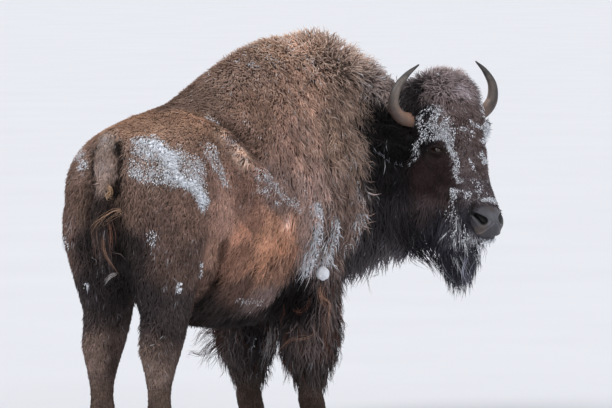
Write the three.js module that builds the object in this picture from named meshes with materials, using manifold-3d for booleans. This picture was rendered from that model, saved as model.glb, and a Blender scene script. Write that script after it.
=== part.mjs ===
// An American bison cow in her winter coat, standing square, with her neck and head turned back to her right.
// Millimetres. +X is the way the body faces, +Y is the animal's left and +Z is up. The hooves stand on z = 0.
// Every outline is the outline of the coat, out to the tips of the hair.
//
// The body is lofted from named stations: one loft from rump to nape, one for each leg, one for the head.
// They are joined into one shape, and thin cuts then part it into the pieces a person would name.

import * as THREE from "three";
import { mergeVertices } from "three/addons/utils/BufferGeometryUtils.js";
import Module from "manifold-3d";

const wasm = await Module();
wasm.setup();

const GAP = 0.4; // clearance between pieces that meet
const RIGHT = -1;
const LEFT = 1;
const SIDES = { l: LEFT, r: RIGHT };
const UP = new THREE.Vector3(0, 0, 1);
const DOWN = new THREE.Vector3(0, 0, -1);

// ---------------------------------------------------------------- driving dimensions

const RUMP_X = -872; // hindmost point of the buttocks
const NECK_TURN_X = 250; // where the spine starts to turn right
const NECK_TURN_RADIUS = 573;
const HEAD_TURN = THREE.MathUtils.degToRad(-105); // heading of the face, from the body's
const HEAD_PITCH = THREE.MathUtils.degToRad(60); // how steeply the face points down
const HEAD_ROLL = THREE.MathUtils.degToRad(3); // left side carried a little higher
const POLL = new THREE.Vector3(811, -513, 1345); // top of the skull, between the horns

const HIND_FOOT = { x: -674, y: 146 };
const FORE_FOOT = { x: 368, y: 160 };
const STRIDE = 16; // left feet stand this much ahead of the middle, right feet as much behind

const COAT = { color: 0x4a3325, roughness: 0.95, metalness: 0 };
const DARK_COAT = { color: 0x1d1613, roughness: 0.95, metalness: 0 };
const HORN = { color: 0x5b4a3c, roughness: 0.5, metalness: 0 };
const HOOF = { color: 0x1a1715, roughness: 0.6, metalness: 0 };
const EYE = { color: 0x0b0706, roughness: 0.08, metalness: 0 };

// ---------------------------------------------------------------- stations

// Spine loft, by distance along the spine from the rump: heights of the top line, widest level and underline,
// half width, and how the upper half closes (over 1 narrows to a crest, under 1 is fuller).
const SPINE_STATIONS = [
  { at: 0, top: 1060, wide: 990, low: 915, half: 20, crest: 1, keel: 1 },
  { at: 20, top: 1150, wide: 990, low: 845, half: 135, crest: 1, keel: 1 },
  { at: 64, top: 1212, wide: 985, low: 780, half: 210, crest: 1, keel: 1 },
  { at: 150, top: 1258, wide: 985, low: 705, half: 262, crest: 0.98, keel: 1 },
  { at: 280, top: 1292, wide: 985, low: 620, half: 288, crest: 0.96, keel: 1 },
  { at: 425, top: 1322, wide: 970, low: 540, half: 290, crest: 1, keel: 0.95 },
  { at: 570, top: 1364, wide: 950, low: 474, half: 286, crest: 1.1, keel: 1 },
  { at: 720, top: 1432, wide: 935, low: 442, half: 296, crest: 1.18, keel: 1.1 },
  { at: 880, top: 1506, wide: 925, low: 434, half: 308, crest: 1.24, keel: 1.2 },
  { at: 1040, top: 1562, wide: 930, low: 440, half: 314, crest: 1.28, keel: 1.3 },
  { at: 1200, top: 1590, wide: 940, low: 462, half: 310, crest: 1.26, keel: 1.35 },
  { at: 1330, top: 1598, wide: 950, low: 500, half: 300, crest: 1.2, keel: 1.35 },
  { at: 1450, top: 1584, wide: 965, low: 550, half: 274, crest: 1.12, keel: 1.35 },
  { at: 1560, top: 1532, wide: 985, low: 610, half: 238, crest: 1.08, keel: 1.35 },
  { at: 1680, top: 1440, wide: 1000, low: 652, half: 198, crest: 1.05, keel: 1.4 },
  { at: 1800, top: 1378, wide: 1020, low: 690, half: 170, crest: 1.05, keel: 1.4 },
  { at: 1900, top: 1350, wide: 1050, low: 740, half: 156, crest: 1, keel: 1.3 },
  { at: 1975, top: 1310, wide: 1070, low: 830, half: 132, crest: 1, keel: 1.1 },
  { at: 2005, top: 1230, wide: 1080, low: 930, half: 60, crest: 1, keel: 1 },
];

// Swellings and hollows of the flanks: where they are, how far they reach and how far out they push.
const FLANK_RELIEF = {
  hipPoint: { at: 405, z: 1225, reachAt: 85, reachZ: 70, out: 20 },
  flankHollow: { at: 575, z: 1215, reachAt: 95, reachZ: 95, out: -26 },
  haunch: { at: 300, z: 930, reachAt: 190, reachZ: 190, out: 12 },
  ribs: { at: 850, z: 960, reachAt: 190, reachZ: 230, out: 14 },
  girth: { at: 1030, z: 760, reachAt: 80, reachZ: 200, out: -12 },
  shoulder: { at: 1240, z: 1010, reachAt: 140, reachZ: 220, out: 20 },
};

// Leg lofts, by height: centre along X and out from the midline, relative to the foot, and reach each way.
const HIND_STATIONS = [
  { at: 1110, x: 30, y: -22, front: 110, back: 100, side: 90 },
  { at: 1030, x: 32, y: -12, front: 186, back: 170, side: 140 },
  { at: 930, x: 34, y: -6, front: 226, back: 206, side: 160 },
  { at: 830, x: 34, y: -4, front: 232, back: 204, side: 164 },
  { at: 730, x: 40, y: -2, front: 212, back: 180, side: 140 },
  { at: 635, x: 44, y: 0, front: 164, back: 152, side: 116 },
  { at: 545, x: 42, y: 0, front: 130, back: 114, side: 93 },
  { at: 470, x: 30, y: 0, front: 114, back: 110, side: 82 },
  { at: 405, x: 14, y: 0, front: 104, back: 110, side: 76 },
  { at: 340, x: 6, y: 0, front: 80, back: 84, side: 64 },
  { at: 270, x: 2, y: 0, front: 52, back: 54, side: 51 },
  { at: 200, x: 2, y: 0, front: 46, back: 48, side: 46 },
  { at: 145, x: 8, y: 0, front: 52, back: 58, side: 54 },
  { at: 100, x: 22, y: 0, front: 50, back: 52, side: 52 },
  { at: 66, x: 32, y: 0, front: 57, back: 50, side: 57 },
  { at: 56, x: 33, y: 0, front: 49, back: 43, side: 49 },
];
const FORE_STATIONS = [
  { at: 930, x: 0, y: -6, front: 110, back: 120, side: 80 },
  { at: 850, x: 0, y: 0, front: 165, back: 180, side: 118 },
  { at: 740, x: -4, y: 3, front: 168, back: 184, side: 132 },
  { at: 640, x: -8, y: 4, front: 158, back: 172, side: 134 },
  { at: 545, x: -8, y: 3, front: 152, back: 162, side: 131 },
  { at: 450, x: -6, y: 2, front: 150, back: 156, side: 128 },
  { at: 365, x: -4, y: 0, front: 142, back: 148, side: 122 },
  { at: 300, x: 0, y: 0, front: 124, back: 130, side: 108 },
  { at: 255, x: 2, y: 0, front: 96, back: 104, side: 86 },
  { at: 222, x: 4, y: 0, front: 56, back: 62, side: 54 },
  { at: 190, x: 4, y: 0, front: 46, back: 48, side: 46 },
  { at: 145, x: 8, y: 0, front: 54, back: 58, side: 56 },
  { at: 100, x: 22, y: 0, front: 52, back: 54, side: 55 },
  { at: 66, x: 32, y: 0, front: 60, back: 54, side: 61 },
  { at: 56, x: 34, y: 0, front: 52, back: 46, side: 53 },
];

// Head loft, by distance from the poll down the face: forehead line, widest level and jaw line, half width.
const HEAD_STATIONS = [
  { at: -128, top: 10, wide: -100, low: -190, half: 40, crest: 1, keel: 1 },
  { at: -112, top: 52, wide: -100, low: -230, half: 112, crest: 1, keel: 1 },
  { at: -60, top: 92, wide: -95, low: -268, half: 160, crest: 0.9, keel: 1 },
  { at: 20, top: 104, wide: -85, low: -292, half: 174, crest: 0.85, keel: 0.9 },
  { at: 110, top: 88, wide: -78, low: -300, half: 168, crest: 0.82, keel: 0.84 },
  { at: 180, top: 62, wide: -72, low: -302, half: 152, crest: 0.82, keel: 0.82 },
  { at: 240, top: 42, wide: -70, low: -296, half: 136, crest: 0.82, keel: 0.82 },
  { at: 310, top: 26, wide: -72, low: -276, half: 114, crest: 0.84, keel: 0.84 },
  { at: 380, top: 12, wide: -72, low: -238, half: 96, crest: 0.86, keel: 0.88 },
  { at: 450, top: 4, wide: -68, low: -196, half: 85, crest: 0.84, keel: 0.9 },
  { at: 520, top: 0, wide: -60, low: -164, half: 82, crest: 0.8, keel: 0.9 },
  { at: 572, top: -6, wide: -56, low: -146, half: 75, crest: 0.8, keel: 0.9 },
  { at: 606, top: -20, wide: -58, low: -120, half: 57, crest: 0.85, keel: 0.9 },
  { at: 620, top: -45, wide: -66, low: -90, half: 24, crest: 1, keel: 1 },
];

// Beard, by height, in the head's heading: centre ahead of the poll and reach each way.
const BEARD_STATIONS = [
  { at: 930, x: 50, y: 0, front: 60, back: 70, side: 40 },
  { at: 870, x: 60, y: 0, front: 112, back: 124, side: 66 },
  { at: 790, x: 70, y: 0, front: 138, back: 136, side: 72 },
  { at: 720, x: 74, y: 0, front: 124, back: 122, side: 66 },
  { at: 655, x: 76, y: 0, front: 96, back: 92, side: 50 },
  { at: 605, x: 76, y: 0, front: 62, back: 56, side: 32 },
  { at: 574, x: 74, y: 0, front: 20, back: 18, side: 10 },
];

// Tail, by height: centre behind the foot of the dock and reach each way. The dock hangs to the tuft.
const TAIL_X = -836;
const TAIL_STATIONS = [
  { at: 1262, x: 62, y: 0, front: 20, back: 20, side: 20 },
  { at: 1240, x: 44, y: 0, front: 34, back: 40, side: 40 },
  { at: 1190, x: 12, y: 0, front: 36, back: 38, side: 44 },
  { at: 1130, x: -4, y: 0, front: 32, back: 34, side: 44 },
  { at: 1060, x: -8, y: 0, front: 28, back: 30, side: 40 },
  { at: 1000, x: -10, y: 0, front: 26, back: 30, side: 38 },
  { at: 930, x: -8, y: 0, front: 34, back: 38, side: 50 },
  { at: 850, x: -4, y: 0, front: 36, back: 40, side: 56 },
  { at: 770, x: 2, y: 0, front: 32, back: 34, side: 48 },
  { at: 705, x: 8, y: 0, front: 20, back: 22, side: 30 },
  { at: 668, x: 12, y: 0, front: 4, back: 4, side: 5 },
];

// The cleft between the buttocks, in which the tail hangs.
const CLEFT_STATIONS = [
  { at: 1190, x: -30, y: 0, front: 20, back: 60, side: 30 },
  { at: 1120, x: -20, y: 0, front: 52, back: 90, side: 58 },
  { at: 1000, x: -10, y: 0, front: 58, back: 90, side: 62 },
  { at: 860, x: 0, y: 0, front: 54, back: 90, side: 54 },
  { at: 740, x: 10, y: 0, front: 40, back: 90, side: 40 },
  { at: 640, x: 20, y: 0, front: 20, back: 90, side: 20 },
];
const TAIL_TUFT_Z = 985;

// In the head's own frame: down the face from the poll, out to the side, up from the face.
const HORN_ROUTE = [
  [73, 100, -77],
  [67, 160, -71],
  [55, 222, -58],
  [20, 261, -30],
  [-30, 257, 8],
  [-76, 214, 42],
  [-108, 158, 70],
];
const HORN_RADII = [31, 29, 26.5, 23.5, 19, 12, 3];
const HORN_THICKNESS = 0.94; // of its width
const EAR_ROUTE = [
  [146, 120, -92],
  [126, 192, -108],
  [98, 242, -126],
  [72, 284, -144],
  [60, 302, -153],
];
const EAR_HALF_WIDTHS = [24, 38, 42, 28, 4];
const EAR_THICKNESS = 0.34; // of its width
const EYE_PLACE = [224, 112, -42];
const EYE_RADIUS = 20;
const LIDS = { radius: 30, out: 23 }; // the hollow between the lids, centred outside the eye

// One claw of a hoof: reach each way from its middle, which is ahead of the leg and off to one side of it.
const CLAW = { height: 72, front: 74, back: 52, half: 27, ahead: 36, apart: 29, toeTaper: 0.25 };
const CLAW_RINGS = [
  { up: 0, share: 1, shift: 0 },
  { up: 0.5, share: 0.95, shift: -3 },
  { up: 1, share: 0.8, shift: -7 },
];

// Where the pieces part, and how finely each is faceted.
const NECK_CUT = { along: 1395, lean: 0 };
const HEAD_CUT = { along: 1822, lean: -0.12 };
const CUT_HEIGHT = 1050; // the height that a leaning cut pivots about
const LEG_MARGIN = 5; // how far round a leg its cut runs
const REACH = 2000; // longer than any piece
const FACETS = {
  spine: { step: 90, sides: 26 },
  leg: { step: 95, sides: 14 },
  head: { step: 55, sides: 22 },
  beard: { step: 80, sides: 12 },
  tail: { step: 80, sides: 12 },
  cleft: { step: 100, sides: 12 },
  horn: { steps: 12, sides: 10 },
  ear: { steps: 8, sides: 12 },
  eye: { around: 12, down: 8 },
  claw: { sides: 12 },
};

// ---------------------------------------------------------------- curves and lofts

/** A smooth curve through the stations' values of one field, that doesn't overshoot them. */
function fieldCurve(stations, field) {
  const at = stations.map((s) => s.at);
  const value = stations.map((s) => s[field]);
  const slope = at.slice(1).map((a, i) => (value[i + 1] - value[i]) / (a - at[i]));
  const tangent = value.map((_, i) => {
    if (i === 0) return slope[0];
    if (i === slope.length) return slope[i - 1];
    const [before, after] = [slope[i - 1], slope[i]];
    return before * after <= 0 ? 0 : (2 * before * after) / (before + after);
  });
  const rising = at[1] > at[0] ? 1 : -1;
  return (where) => {
    let i = 0;
    while (i < slope.length - 1 && rising * where > rising * at[i + 1]) i += 1;
    const span = at[i + 1] - at[i];
    const t = THREE.MathUtils.clamp((where - at[i]) / span, 0, 1);
    const [t2, t3] = [t * t, t * t * t];
    return (
      (2 * t3 - 3 * t2 + 1) * value[i] +
      (t3 - 2 * t2 + t) * span * tangent[i] +
      (3 * t2 - 2 * t3) * value[i + 1] +
      (t3 - t2) * span * tangent[i + 1]
    );
  };
}

/** All the fields of a station table, smoothly, at any place between its ends. */
function stationCurve(stations) {
  const fields = Object.keys(stations[0]).filter((f) => f !== "at");
  const curves = fields.map((f) => [f, fieldCurve(stations, f)]);
  return (at) => Object.fromEntries([["at", at], ...curves.map(([f, curve]) => [f, curve(at)])]);
}

/** Places along a station table: every station, and steps of about the given size between them. */
function rowsOf(stations, step) {
  const rows = [stations[0].at];
  stations.slice(1).forEach((s, i) => {
    const from = stations[i].at;
    const parts = Math.max(1, Math.round(Math.abs(s.at - from) / step));
    for (let k = 1; k <= parts; k += 1) rows.push(from + ((s.at - from) * k) / parts);
  });
  return rows;
}

/** A closed skin over rings of points, with a point at the middle of each end ring. */
function skin(rings) {
  const sides = rings[0].length;
  const middle = (ring) => ring.reduce((sum, p) => sum.add(p), new THREE.Vector3()).divideScalar(sides);
  const points = [...rings.flat(), middle(rings[0]), middle(rings.at(-1))];
  const [first, last] = [points.length - 2, points.length - 1];
  const index = [];
  const next = (k) => (k + 1) % sides;
  for (let r = 0; r < rings.length - 1; r += 1) {
    for (let k = 0; k < sides; k += 1) {
      const [a, b] = [r * sides + k, r * sides + next(k)];
      const [c, d] = [a + sides, b + sides];
      index.push(a, b, d, a, d, c);
    }
  }
  const end = (rings.length - 1) * sides;
  for (let k = 0; k < sides; k += 1) {
    index.push(first, next(k), k);
    index.push(last, end + k, end + next(k));
  }
  const geometry = new THREE.BufferGeometry().setFromPoints(points);
  geometry.setIndex(index);
  return geometry;
}

/** A geometry's triangles as a solid, right side out. */
function solidOf(geometry) {
  const bare = new THREE.BufferGeometry().setAttribute("position", geometry.getAttribute("position"));
  if (geometry.index) bare.setIndex(geometry.index);
  const merged = mergeVertices(bare, 1e-3);
  const triangles = new Uint32Array(merged.index.array);
  const vertProperties = new Float32Array(merged.attributes.position.array);
  const build = (triVerts) => new wasm.Manifold(new wasm.Mesh({ numProp: 3, vertProperties, triVerts }));
  const made = build(triangles);
  if (made.volume() > 0) return made;
  for (let i = 0; i < triangles.length; i += 3) {
    [triangles[i + 1], triangles[i + 2]] = [triangles[i + 2], triangles[i + 1]];
  }
  return build(triangles);
}

/** A solid's triangles as a geometry. */
function geometryOf(solid) {
  const { vertProperties, triVerts } = solid.getMesh();
  const geometry = new THREE.BufferGeometry();
  geometry.setAttribute("position", new THREE.BufferAttribute(vertProperties, 3));
  geometry.setIndex(new THREE.BufferAttribute(triVerts, 1));
  return geometry;
}

/** A point of an oval section whose upper and lower halves differ, as distance to the side and height. */
function ovalPoint({ top, wide, low, half, crest, keel }, angle) {
  const [across, up] = [Math.sin(angle), Math.cos(angle)];
  const power = up > 0 ? crest : keel;
  const height = up > 0 ? top - wide : wide - low;
  return [Math.sign(across) * half * Math.abs(across) ** power, wide + height * up];
}

const angles = (sides) => Array.from({ length: sides }, (_, k) => (2 * Math.PI * k) / sides);

// ---------------------------------------------------------------- trunk and neck

/** The spine's place and heading: straight from the rump, then along an arc to the right. */
function spineAt(along) {
  const straight = NECK_TURN_X - RUMP_X;
  const turn = Math.max(0, along - straight) / NECK_TURN_RADIUS;
  return {
    x: RUMP_X + Math.min(along, straight) + NECK_TURN_RADIUS * Math.sin(turn),
    y: -NECK_TURN_RADIUS * (1 - Math.cos(turn)),
    heading: -turn,
  };
}

/** How far the flank stands out of its plain oval at a place along the spine and a height. */
function flankRelief(along, z) {
  return Object.values(FLANK_RELIEF).reduce((sum, r) => {
    const off = ((along - r.at) / r.reachAt) ** 2 + ((z - r.z) / r.reachZ) ** 2;
    return sum + r.out * Math.exp(-off);
  }, 0);
}

function spineLoft() {
  const section = stationCurve(SPINE_STATIONS);
  const rings = rowsOf(SPINE_STATIONS, FACETS.spine.step).map((along) => {
    const { x, y, heading } = spineAt(along);
    return angles(FACETS.spine.sides).map((angle) => {
      const [side, z] = ovalPoint(section(along), angle);
      const out = side + Math.sin(angle) * flankRelief(along, z);
      return new THREE.Vector3(x - out * Math.sin(heading), y + out * Math.cos(heading), z);
    });
  });
  return solidOf(skin(rings));
}

// ---------------------------------------------------------------- columns: legs, beard and tail

/** An upright skin with a different reach to the front, the back and the sides. */
function column(stations, { step, sides }) {
  const section = stationCurve(stations);
  const rings = rowsOf(stations, step).map((z) => {
    const s = section(z);
    return angles(sides).map((angle) => {
      const [across, along] = [Math.sin(angle), Math.cos(angle)];
      const reach = along > 0 ? s.front : s.back;
      return new THREE.Vector3(s.x + reach * along, s.y + s.side * across, z);
    });
  });
  return skin(rings);
}

/** A leg on its foot, grown all round by a margin. */
function legLoft(stations, foot, side, grown = 0) {
  const placed = stations.map((s) => ({
    at: s.at,
    x: foot.x + STRIDE * side + s.x,
    y: side * (foot.y + s.y),
    front: s.front + grown,
    back: s.back + grown,
    side: s.side + grown,
  }));
  return solidOf(column(placed, FACETS.leg));
}

// ---------------------------------------------------------------- head

/** From the head's own frame, with +X down the face and +Z off the forehead, to its pose. */
const headPose = new THREE.Matrix4()
  .makeTranslation(POLL)
  .multiply(new THREE.Matrix4().makeRotationZ(HEAD_TURN))
  .multiply(new THREE.Matrix4().makeRotationY(HEAD_PITCH))
  .multiply(new THREE.Matrix4().makeRotationX(HEAD_ROLL));

const headUp = new THREE.Vector3(0, 0, 1).transformDirection(headPose);
const inHead = ([down, out, up], side) => new THREE.Vector3(down, side * out, up).applyMatrix4(headPose);

function headLoft() {
  const section = stationCurve(HEAD_STATIONS);
  const rings = rowsOf(HEAD_STATIONS, FACETS.head.step).map((down) =>
    angles(FACETS.head.sides).map((angle) => {
      const [side, height] = ovalPoint(section(down), angle);
      return new THREE.Vector3(down, side, height).applyMatrix4(headPose);
    }),
  );
  return solidOf(skin(rings));
}

function beardLoft() {
  return solidOf(column(BEARD_STATIONS, FACETS.beard).rotateZ(HEAD_TURN).translate(POLL.x, POLL.y, 0));
}

/** A tapering horn or ear along a route. Its section is an oval, thinner off the forehead. */
function tapered(route, widths, flatness, { steps, sides }) {
  const line = new THREE.CatmullRomCurve3(route, false, "centripetal");
  const width = fieldCurve(widths.map((value, i) => ({ at: i / (widths.length - 1), value })), "value");
  const rings = Array.from({ length: steps + 1 }, (_, i) => {
    const t = i / steps;
    const along = line.getTangent(t);
    const thin = headUp.clone().addScaledVector(along, -headUp.dot(along)).normalize();
    const broad = new THREE.Vector3().crossVectors(along, thin);
    return angles(sides).map((angle) =>
      line
        .getPoint(t)
        .addScaledVector(broad, width(t) * Math.cos(angle))
        .addScaledVector(thin, width(t) * flatness * Math.sin(angle)),
    );
  });
  return solidOf(skin(rings));
}

function hornLoft(side) {
  const route = HORN_ROUTE.map((p) => inHead(p, side));
  return tapered(route, HORN_RADII, HORN_THICKNESS, FACETS.horn);
}

function earLoft(side) {
  const route = EAR_ROUTE.map((p) => inHead(p, side));
  return tapered(route, EAR_HALF_WIDTHS, EAR_THICKNESS, FACETS.ear);
}

function ball(radius, place, side) {
  const made = new THREE.SphereGeometry(radius, FACETS.eye.around, FACETS.eye.down);
  made.translate(...inHead(place, side));
  return solidOf(made);
}

// ---------------------------------------------------------------- hooves

/** One claw of a cloven hoof: a flat sole, a sloping front wall and a rounded heel. */
function claw(foot, side, which) {
  const middle = { x: foot.x + STRIDE * side + CLAW.ahead, y: side * foot.y + which * CLAW.apart };
  const rings = CLAW_RINGS.map(({ up, share, shift }) =>
    angles(FACETS.claw.sides).map((angle) => {
      const along = Math.cos(angle);
      const reach = (along > 0 ? CLAW.front : CLAW.back) * share;
      const half = CLAW.half * share * (1 - CLAW.toeTaper * Math.max(0, along));
      const [x, y] = [middle.x + shift + reach * along, middle.y + half * Math.sin(angle)];
      return new THREE.Vector3(x, y, up * CLAW.height);
    }),
  );
  return solidOf(skin(rings));
}

// ---------------------------------------------------------------- parting

/** A block about a centre, sloped up along its own X, then tilted about its own Y, then turned about Z. */
function block(size, centre, { turn = 0, tilt = 0, slope = 0 } = {}) {
  const box = new THREE.BoxGeometry(...size);
  box.applyMatrix4(new THREE.Matrix4().makeShear(0, slope, 0, 0, 0, 0));
  box.rotateY(tilt).rotateZ(turn).translate(...centre);
  return solidOf(box);
}

/** Cuts a shape in two around a region, made by a function that can grow it by the gap. */
function part(shape, region) {
  return [shape.intersect(region(0)), shape.subtract(region(GAP))];
}

const moved = (solid, by) => solidOf(geometryOf(solid).translate(...by));

/** A piece cut away where a body is, and set off from it in the direction that it grows. */
function clearOf(piece, body, outward) {
  const away = outward.clone().setLength(GAP);
  return piece.subtract(body).subtract(moved(body, away));
}

const largest = (solid) => solid.decompose().sort((a, b) => b.volume() - a.volume())[0];

// ---------------------------------------------------------------- assembly

const pieces = {};
const looks = {};

function keep(name, solid, look) {
  pieces[name] = largest(solid);
  looks[name] = look;
}

// Legs: cut off below the thigh and the upper arm, then again below the hock and the knee.
const LEGS = {
  hind: { stations: HIND_STATIONS, foot: HIND_FOOT, top: 720, slope: -0.4, knee: 455, look: COAT },
  fore: { stations: FORE_STATIONS, foot: FORE_FOOT, top: 560, slope: 0.1, knee: 236, look: DARK_COAT },
};
const atTail = (stations) => stations.map((s) => ({ ...s, x: s.x + TAIL_X }));

let body = spineLoft();
for (const { stations, foot } of Object.values(LEGS)) {
  for (const side of Object.values(SIDES)) body = body.add(legLoft(stations, foot, side));
}
body = body.subtract(solidOf(column(atTail(CLEFT_STATIONS), FACETS.cleft))).add(headLoft());

for (const [pair, { stations, foot, top, slope, knee, look }] of Object.entries(LEGS)) {
  for (const [name, side] of Object.entries(SIDES)) {
    const [limb, rest] = part(body, (grown) =>
      legLoft(stations, foot, side, LEG_MARGIN + grown).intersect(
        block([REACH, REACH, REACH], [foot.x, 0, top + grown - REACH / 2], { slope }),
      ),
    );
    body = rest;
    const aboveKnee = (grown) => block([REACH, REACH, REACH], [0, 0, knee - grown + REACH / 2]);
    const [upper, lower] = part(largest(limb), aboveKnee);
    keep(`${pair}_${name}_upper`, upper, look);
    const hooves = [-1, 1].map((which) => claw(foot, side, which));
    keep(`${pair}_${name}_lower`, hooves.reduce((shank, hoof) => clearOf(shank, hoof, UP), lower), COAT);
    hooves.forEach((hoof, i) => {
      const inner = (i === 0) === (side === LEFT);
      keep(`hoof_${pair}_${name}_${inner ? "inner" : "outer"}`, hoof, HOOF);
    });
  }
}

/** Parts a shape in two across the spine, with the face of the cut leaning about its own width. */
function splitAhead(shape, { along, lean }) {
  const { x, y, heading } = spineAt(along);
  return part(shape, (grown) => {
    const ahead = new THREE.Vector3(REACH / 2 - grown, 0, 0)
      .applyAxisAngle(new THREE.Vector3(0, 1, 0), lean)
      .applyAxisAngle(new THREE.Vector3(0, 0, 1), heading);
    const centre = [x + ahead.x, y + ahead.y, CUT_HEIGHT + ahead.z];
    return block([REACH, REACH, REACH], centre, { turn: heading, tilt: lean });
  });
}
const [front, trunk] = splitAhead(body, NECK_CUT);
const [headWhole, neck] = splitAhead(front, HEAD_CUT);
keep("trunk", trunk, COAT);
keep("neck", neck, DARK_COAT);

// Pieces that grow out of the head and neck.
let head = largest(headWhole);
keep("beard", clearOf(clearOf(beardLoft(), head, DOWN), neck, DOWN), DARK_COAT);
for (const [name, side] of Object.entries(SIDES)) {
  const hornOut = inHead(HORN_ROUTE[2], side).sub(inHead(HORN_ROUTE[0], side));
  const earOut = inHead(EAR_ROUTE[2], side).sub(inHead(EAR_ROUTE[0], side));
  keep(`horn_${name}`, clearOf(clearOf(hornLoft(side), head, hornOut), neck, hornOut), HORN);
  keep(`ear_${name}`, clearOf(clearOf(earLoft(side), head, earOut), neck, earOut), DARK_COAT);
  keep(`eye_${name}`, ball(EYE_RADIUS, EYE_PLACE, side), EYE);
  const [down, out, up] = EYE_PLACE;
  head = head
    .subtract(ball(EYE_RADIUS + GAP, EYE_PLACE, side))
    .subtract(ball(LIDS.radius, [down, out + LIDS.out, up], side));
}
keep("head", head, DARK_COAT);

// Tail: a dock and a tuft, hanging clear of the buttocks.
const tail = clearOf(
  solidOf(column(atTail(TAIL_STATIONS), FACETS.tail)),
  body,
  new THREE.Vector3(-1, 0, 0.5),
);
const aboveTuft = (grown) => block([REACH, REACH, REACH], [0, 0, TAIL_TUFT_Z - grown + REACH / 2]);
const [dock, tuft] = part(largest(tail), aboveTuft);
keep("tail_dock", dock, COAT);
keep("tail_tuft", tuft, DARK_COAT);

// ---------------------------------------------------------------- meshes

function meshOf(name, solid) {
  const geometry = geometryOf(solid);
  geometry.computeVertexNormals();
  const mesh = new THREE.Mesh(geometry, new THREE.MeshStandardMaterial(looks[name]));
  mesh.name = name;
  return mesh;
}

const bison = new THREE.Group();
for (const [name, solid] of Object.entries(pieces)) bison.add(meshOf(name, solid));

// The origin is on the floor under the middle of the whole animal.
const extent = new THREE.Box3().setFromObject(bison);
const middle = extent.getCenter(new THREE.Vector3());
bison.position.set(-middle.x, -middle.y, -extent.min.z);

export default bison;
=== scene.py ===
"""An American bison cow in her winter coat, standing square and looking back over her right shoulder.

One skin stands for all the flesh of the frame and lies inside it by the depth of the coat. The coat is
solid tufts of hair that root in the skin and lie along it. Eyes, horns and hooves are pieces of their own.
Metres, in the frame's axes: +X the way the body faces, +Y the animal's left, +Z up.
"""

from __future__ import annotations

import logging
from collections.abc import Iterable, Sequence
from dataclasses import dataclass, fields
from enum import Enum
from itertools import product

import bmesh
import bpy
import numpy as np
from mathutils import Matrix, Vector


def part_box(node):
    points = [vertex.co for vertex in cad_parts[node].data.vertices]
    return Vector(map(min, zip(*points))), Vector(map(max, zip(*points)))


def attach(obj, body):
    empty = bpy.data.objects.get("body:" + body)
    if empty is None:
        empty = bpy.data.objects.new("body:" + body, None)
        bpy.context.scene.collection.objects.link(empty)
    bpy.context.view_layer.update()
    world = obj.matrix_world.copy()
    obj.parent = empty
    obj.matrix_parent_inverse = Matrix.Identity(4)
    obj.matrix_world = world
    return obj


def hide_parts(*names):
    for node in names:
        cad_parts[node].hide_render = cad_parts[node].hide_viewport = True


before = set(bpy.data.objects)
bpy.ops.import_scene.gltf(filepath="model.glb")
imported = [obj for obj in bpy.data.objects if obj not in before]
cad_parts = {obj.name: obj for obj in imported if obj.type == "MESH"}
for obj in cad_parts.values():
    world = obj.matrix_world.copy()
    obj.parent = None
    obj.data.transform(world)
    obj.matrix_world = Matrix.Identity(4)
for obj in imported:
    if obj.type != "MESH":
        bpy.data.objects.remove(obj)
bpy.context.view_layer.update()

Array = np.ndarray
Triple = tuple[float, float, float]
Span = tuple[float, float]
Socket = bpy.types.NodeSocket
LOG = logging.getLogger("bison")
FLESH = [
    name for name in sorted(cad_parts) if not name.startswith(("eye", "horn", "hoof", "ear"))
]
ROUND = 2 * np.pi


# ---------------------------------------------------------------- arithmetic on whole arrays


def unit(vectors: Array) -> Array:
    """Each vector over its own length."""
    return vectors / np.maximum(np.linalg.norm(vectors, axis=-1, keepdims=True), 1e-9)


def levelled(vectors: Array, outward: Array) -> Array:
    """Each vector without its part along the outward direction."""
    return vectors - outward * (vectors * outward).sum(-1, keepdims=True)


def ramp(values: Array, low: float, high: float) -> Array:
    """Rises smoothly from 0 at low to 1 at high: 3 t squared less 2 t cubed."""
    t = np.clip((values - low) / (high - low), 0, 1)
    return t * t * (3 - 2 * t)


def linear(colour: Triple) -> Array:
    """A colour written from 0 to 255, as the light that it gives back."""
    c = np.asarray(colour, float) / 255
    return np.where(c <= 0.04045, c / 12.92, ((c + 0.055) / 1.055) ** 2.4)


def circle(sides: int) -> Array:
    """The angles of a ring's points."""
    return np.linspace(0, ROUND, sides, endpoint=False)


def chance_of(cells: Array, seed: int) -> Array:
    """A fixed number from 0 to 1 for each whole-number cell.

    Args:
        cells: Whole numbers in the last axis, three to a cell.
        seed: Which of the many fields of numbers.

    Returns:
        One number a cell: the cell's numbers times large primes, mixed by shifts.
    """
    c = cells.astype(np.int64)
    mixed = c[..., 0] * 73856093 ^ c[..., 1] * 19349663 ^ c[..., 2] * 83492791 ^ (seed * 40503 + 977)
    mixed = (mixed ^ (mixed >> 13)) * 1274126177 & 0x7FFFFFFF
    mixed = (mixed ^ (mixed >> 15)) * 668265263 & 0x7FFFFFFF
    return ((mixed ^ (mixed >> 16)) & 0xFFFFFF) / float(0x1000000)


def cloud(points: Array, size: float, seed: int) -> Array:
    """Smooth noise from -1 to 1.

    Args:
        points: Places, in metres.
        size: Spacing of the lattice, in metres.
        seed: Which noise.

    Returns:
        Chance numbers at the corners of each lattice cell, blended by a smooth step across it.
    """
    p = points / size
    base = np.floor(p)
    t = p - base
    t = t * t * (3 - 2 * t)
    total = np.zeros(len(points))
    for corner in product((0, 1), repeat=3):
        share = np.prod(np.where(corner, t, 1 - t), axis=1)
        total += share * chance_of(base + corner, seed)
    return 2 * total - 1


def clouds(points: Array, layers: Iterable[tuple[float, float, int]]) -> Array:
    """The sum of noises, each given by its strength, size and seed."""
    return sum(strength * cloud(points, size, seed) for strength, size, seed in layers)


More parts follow.
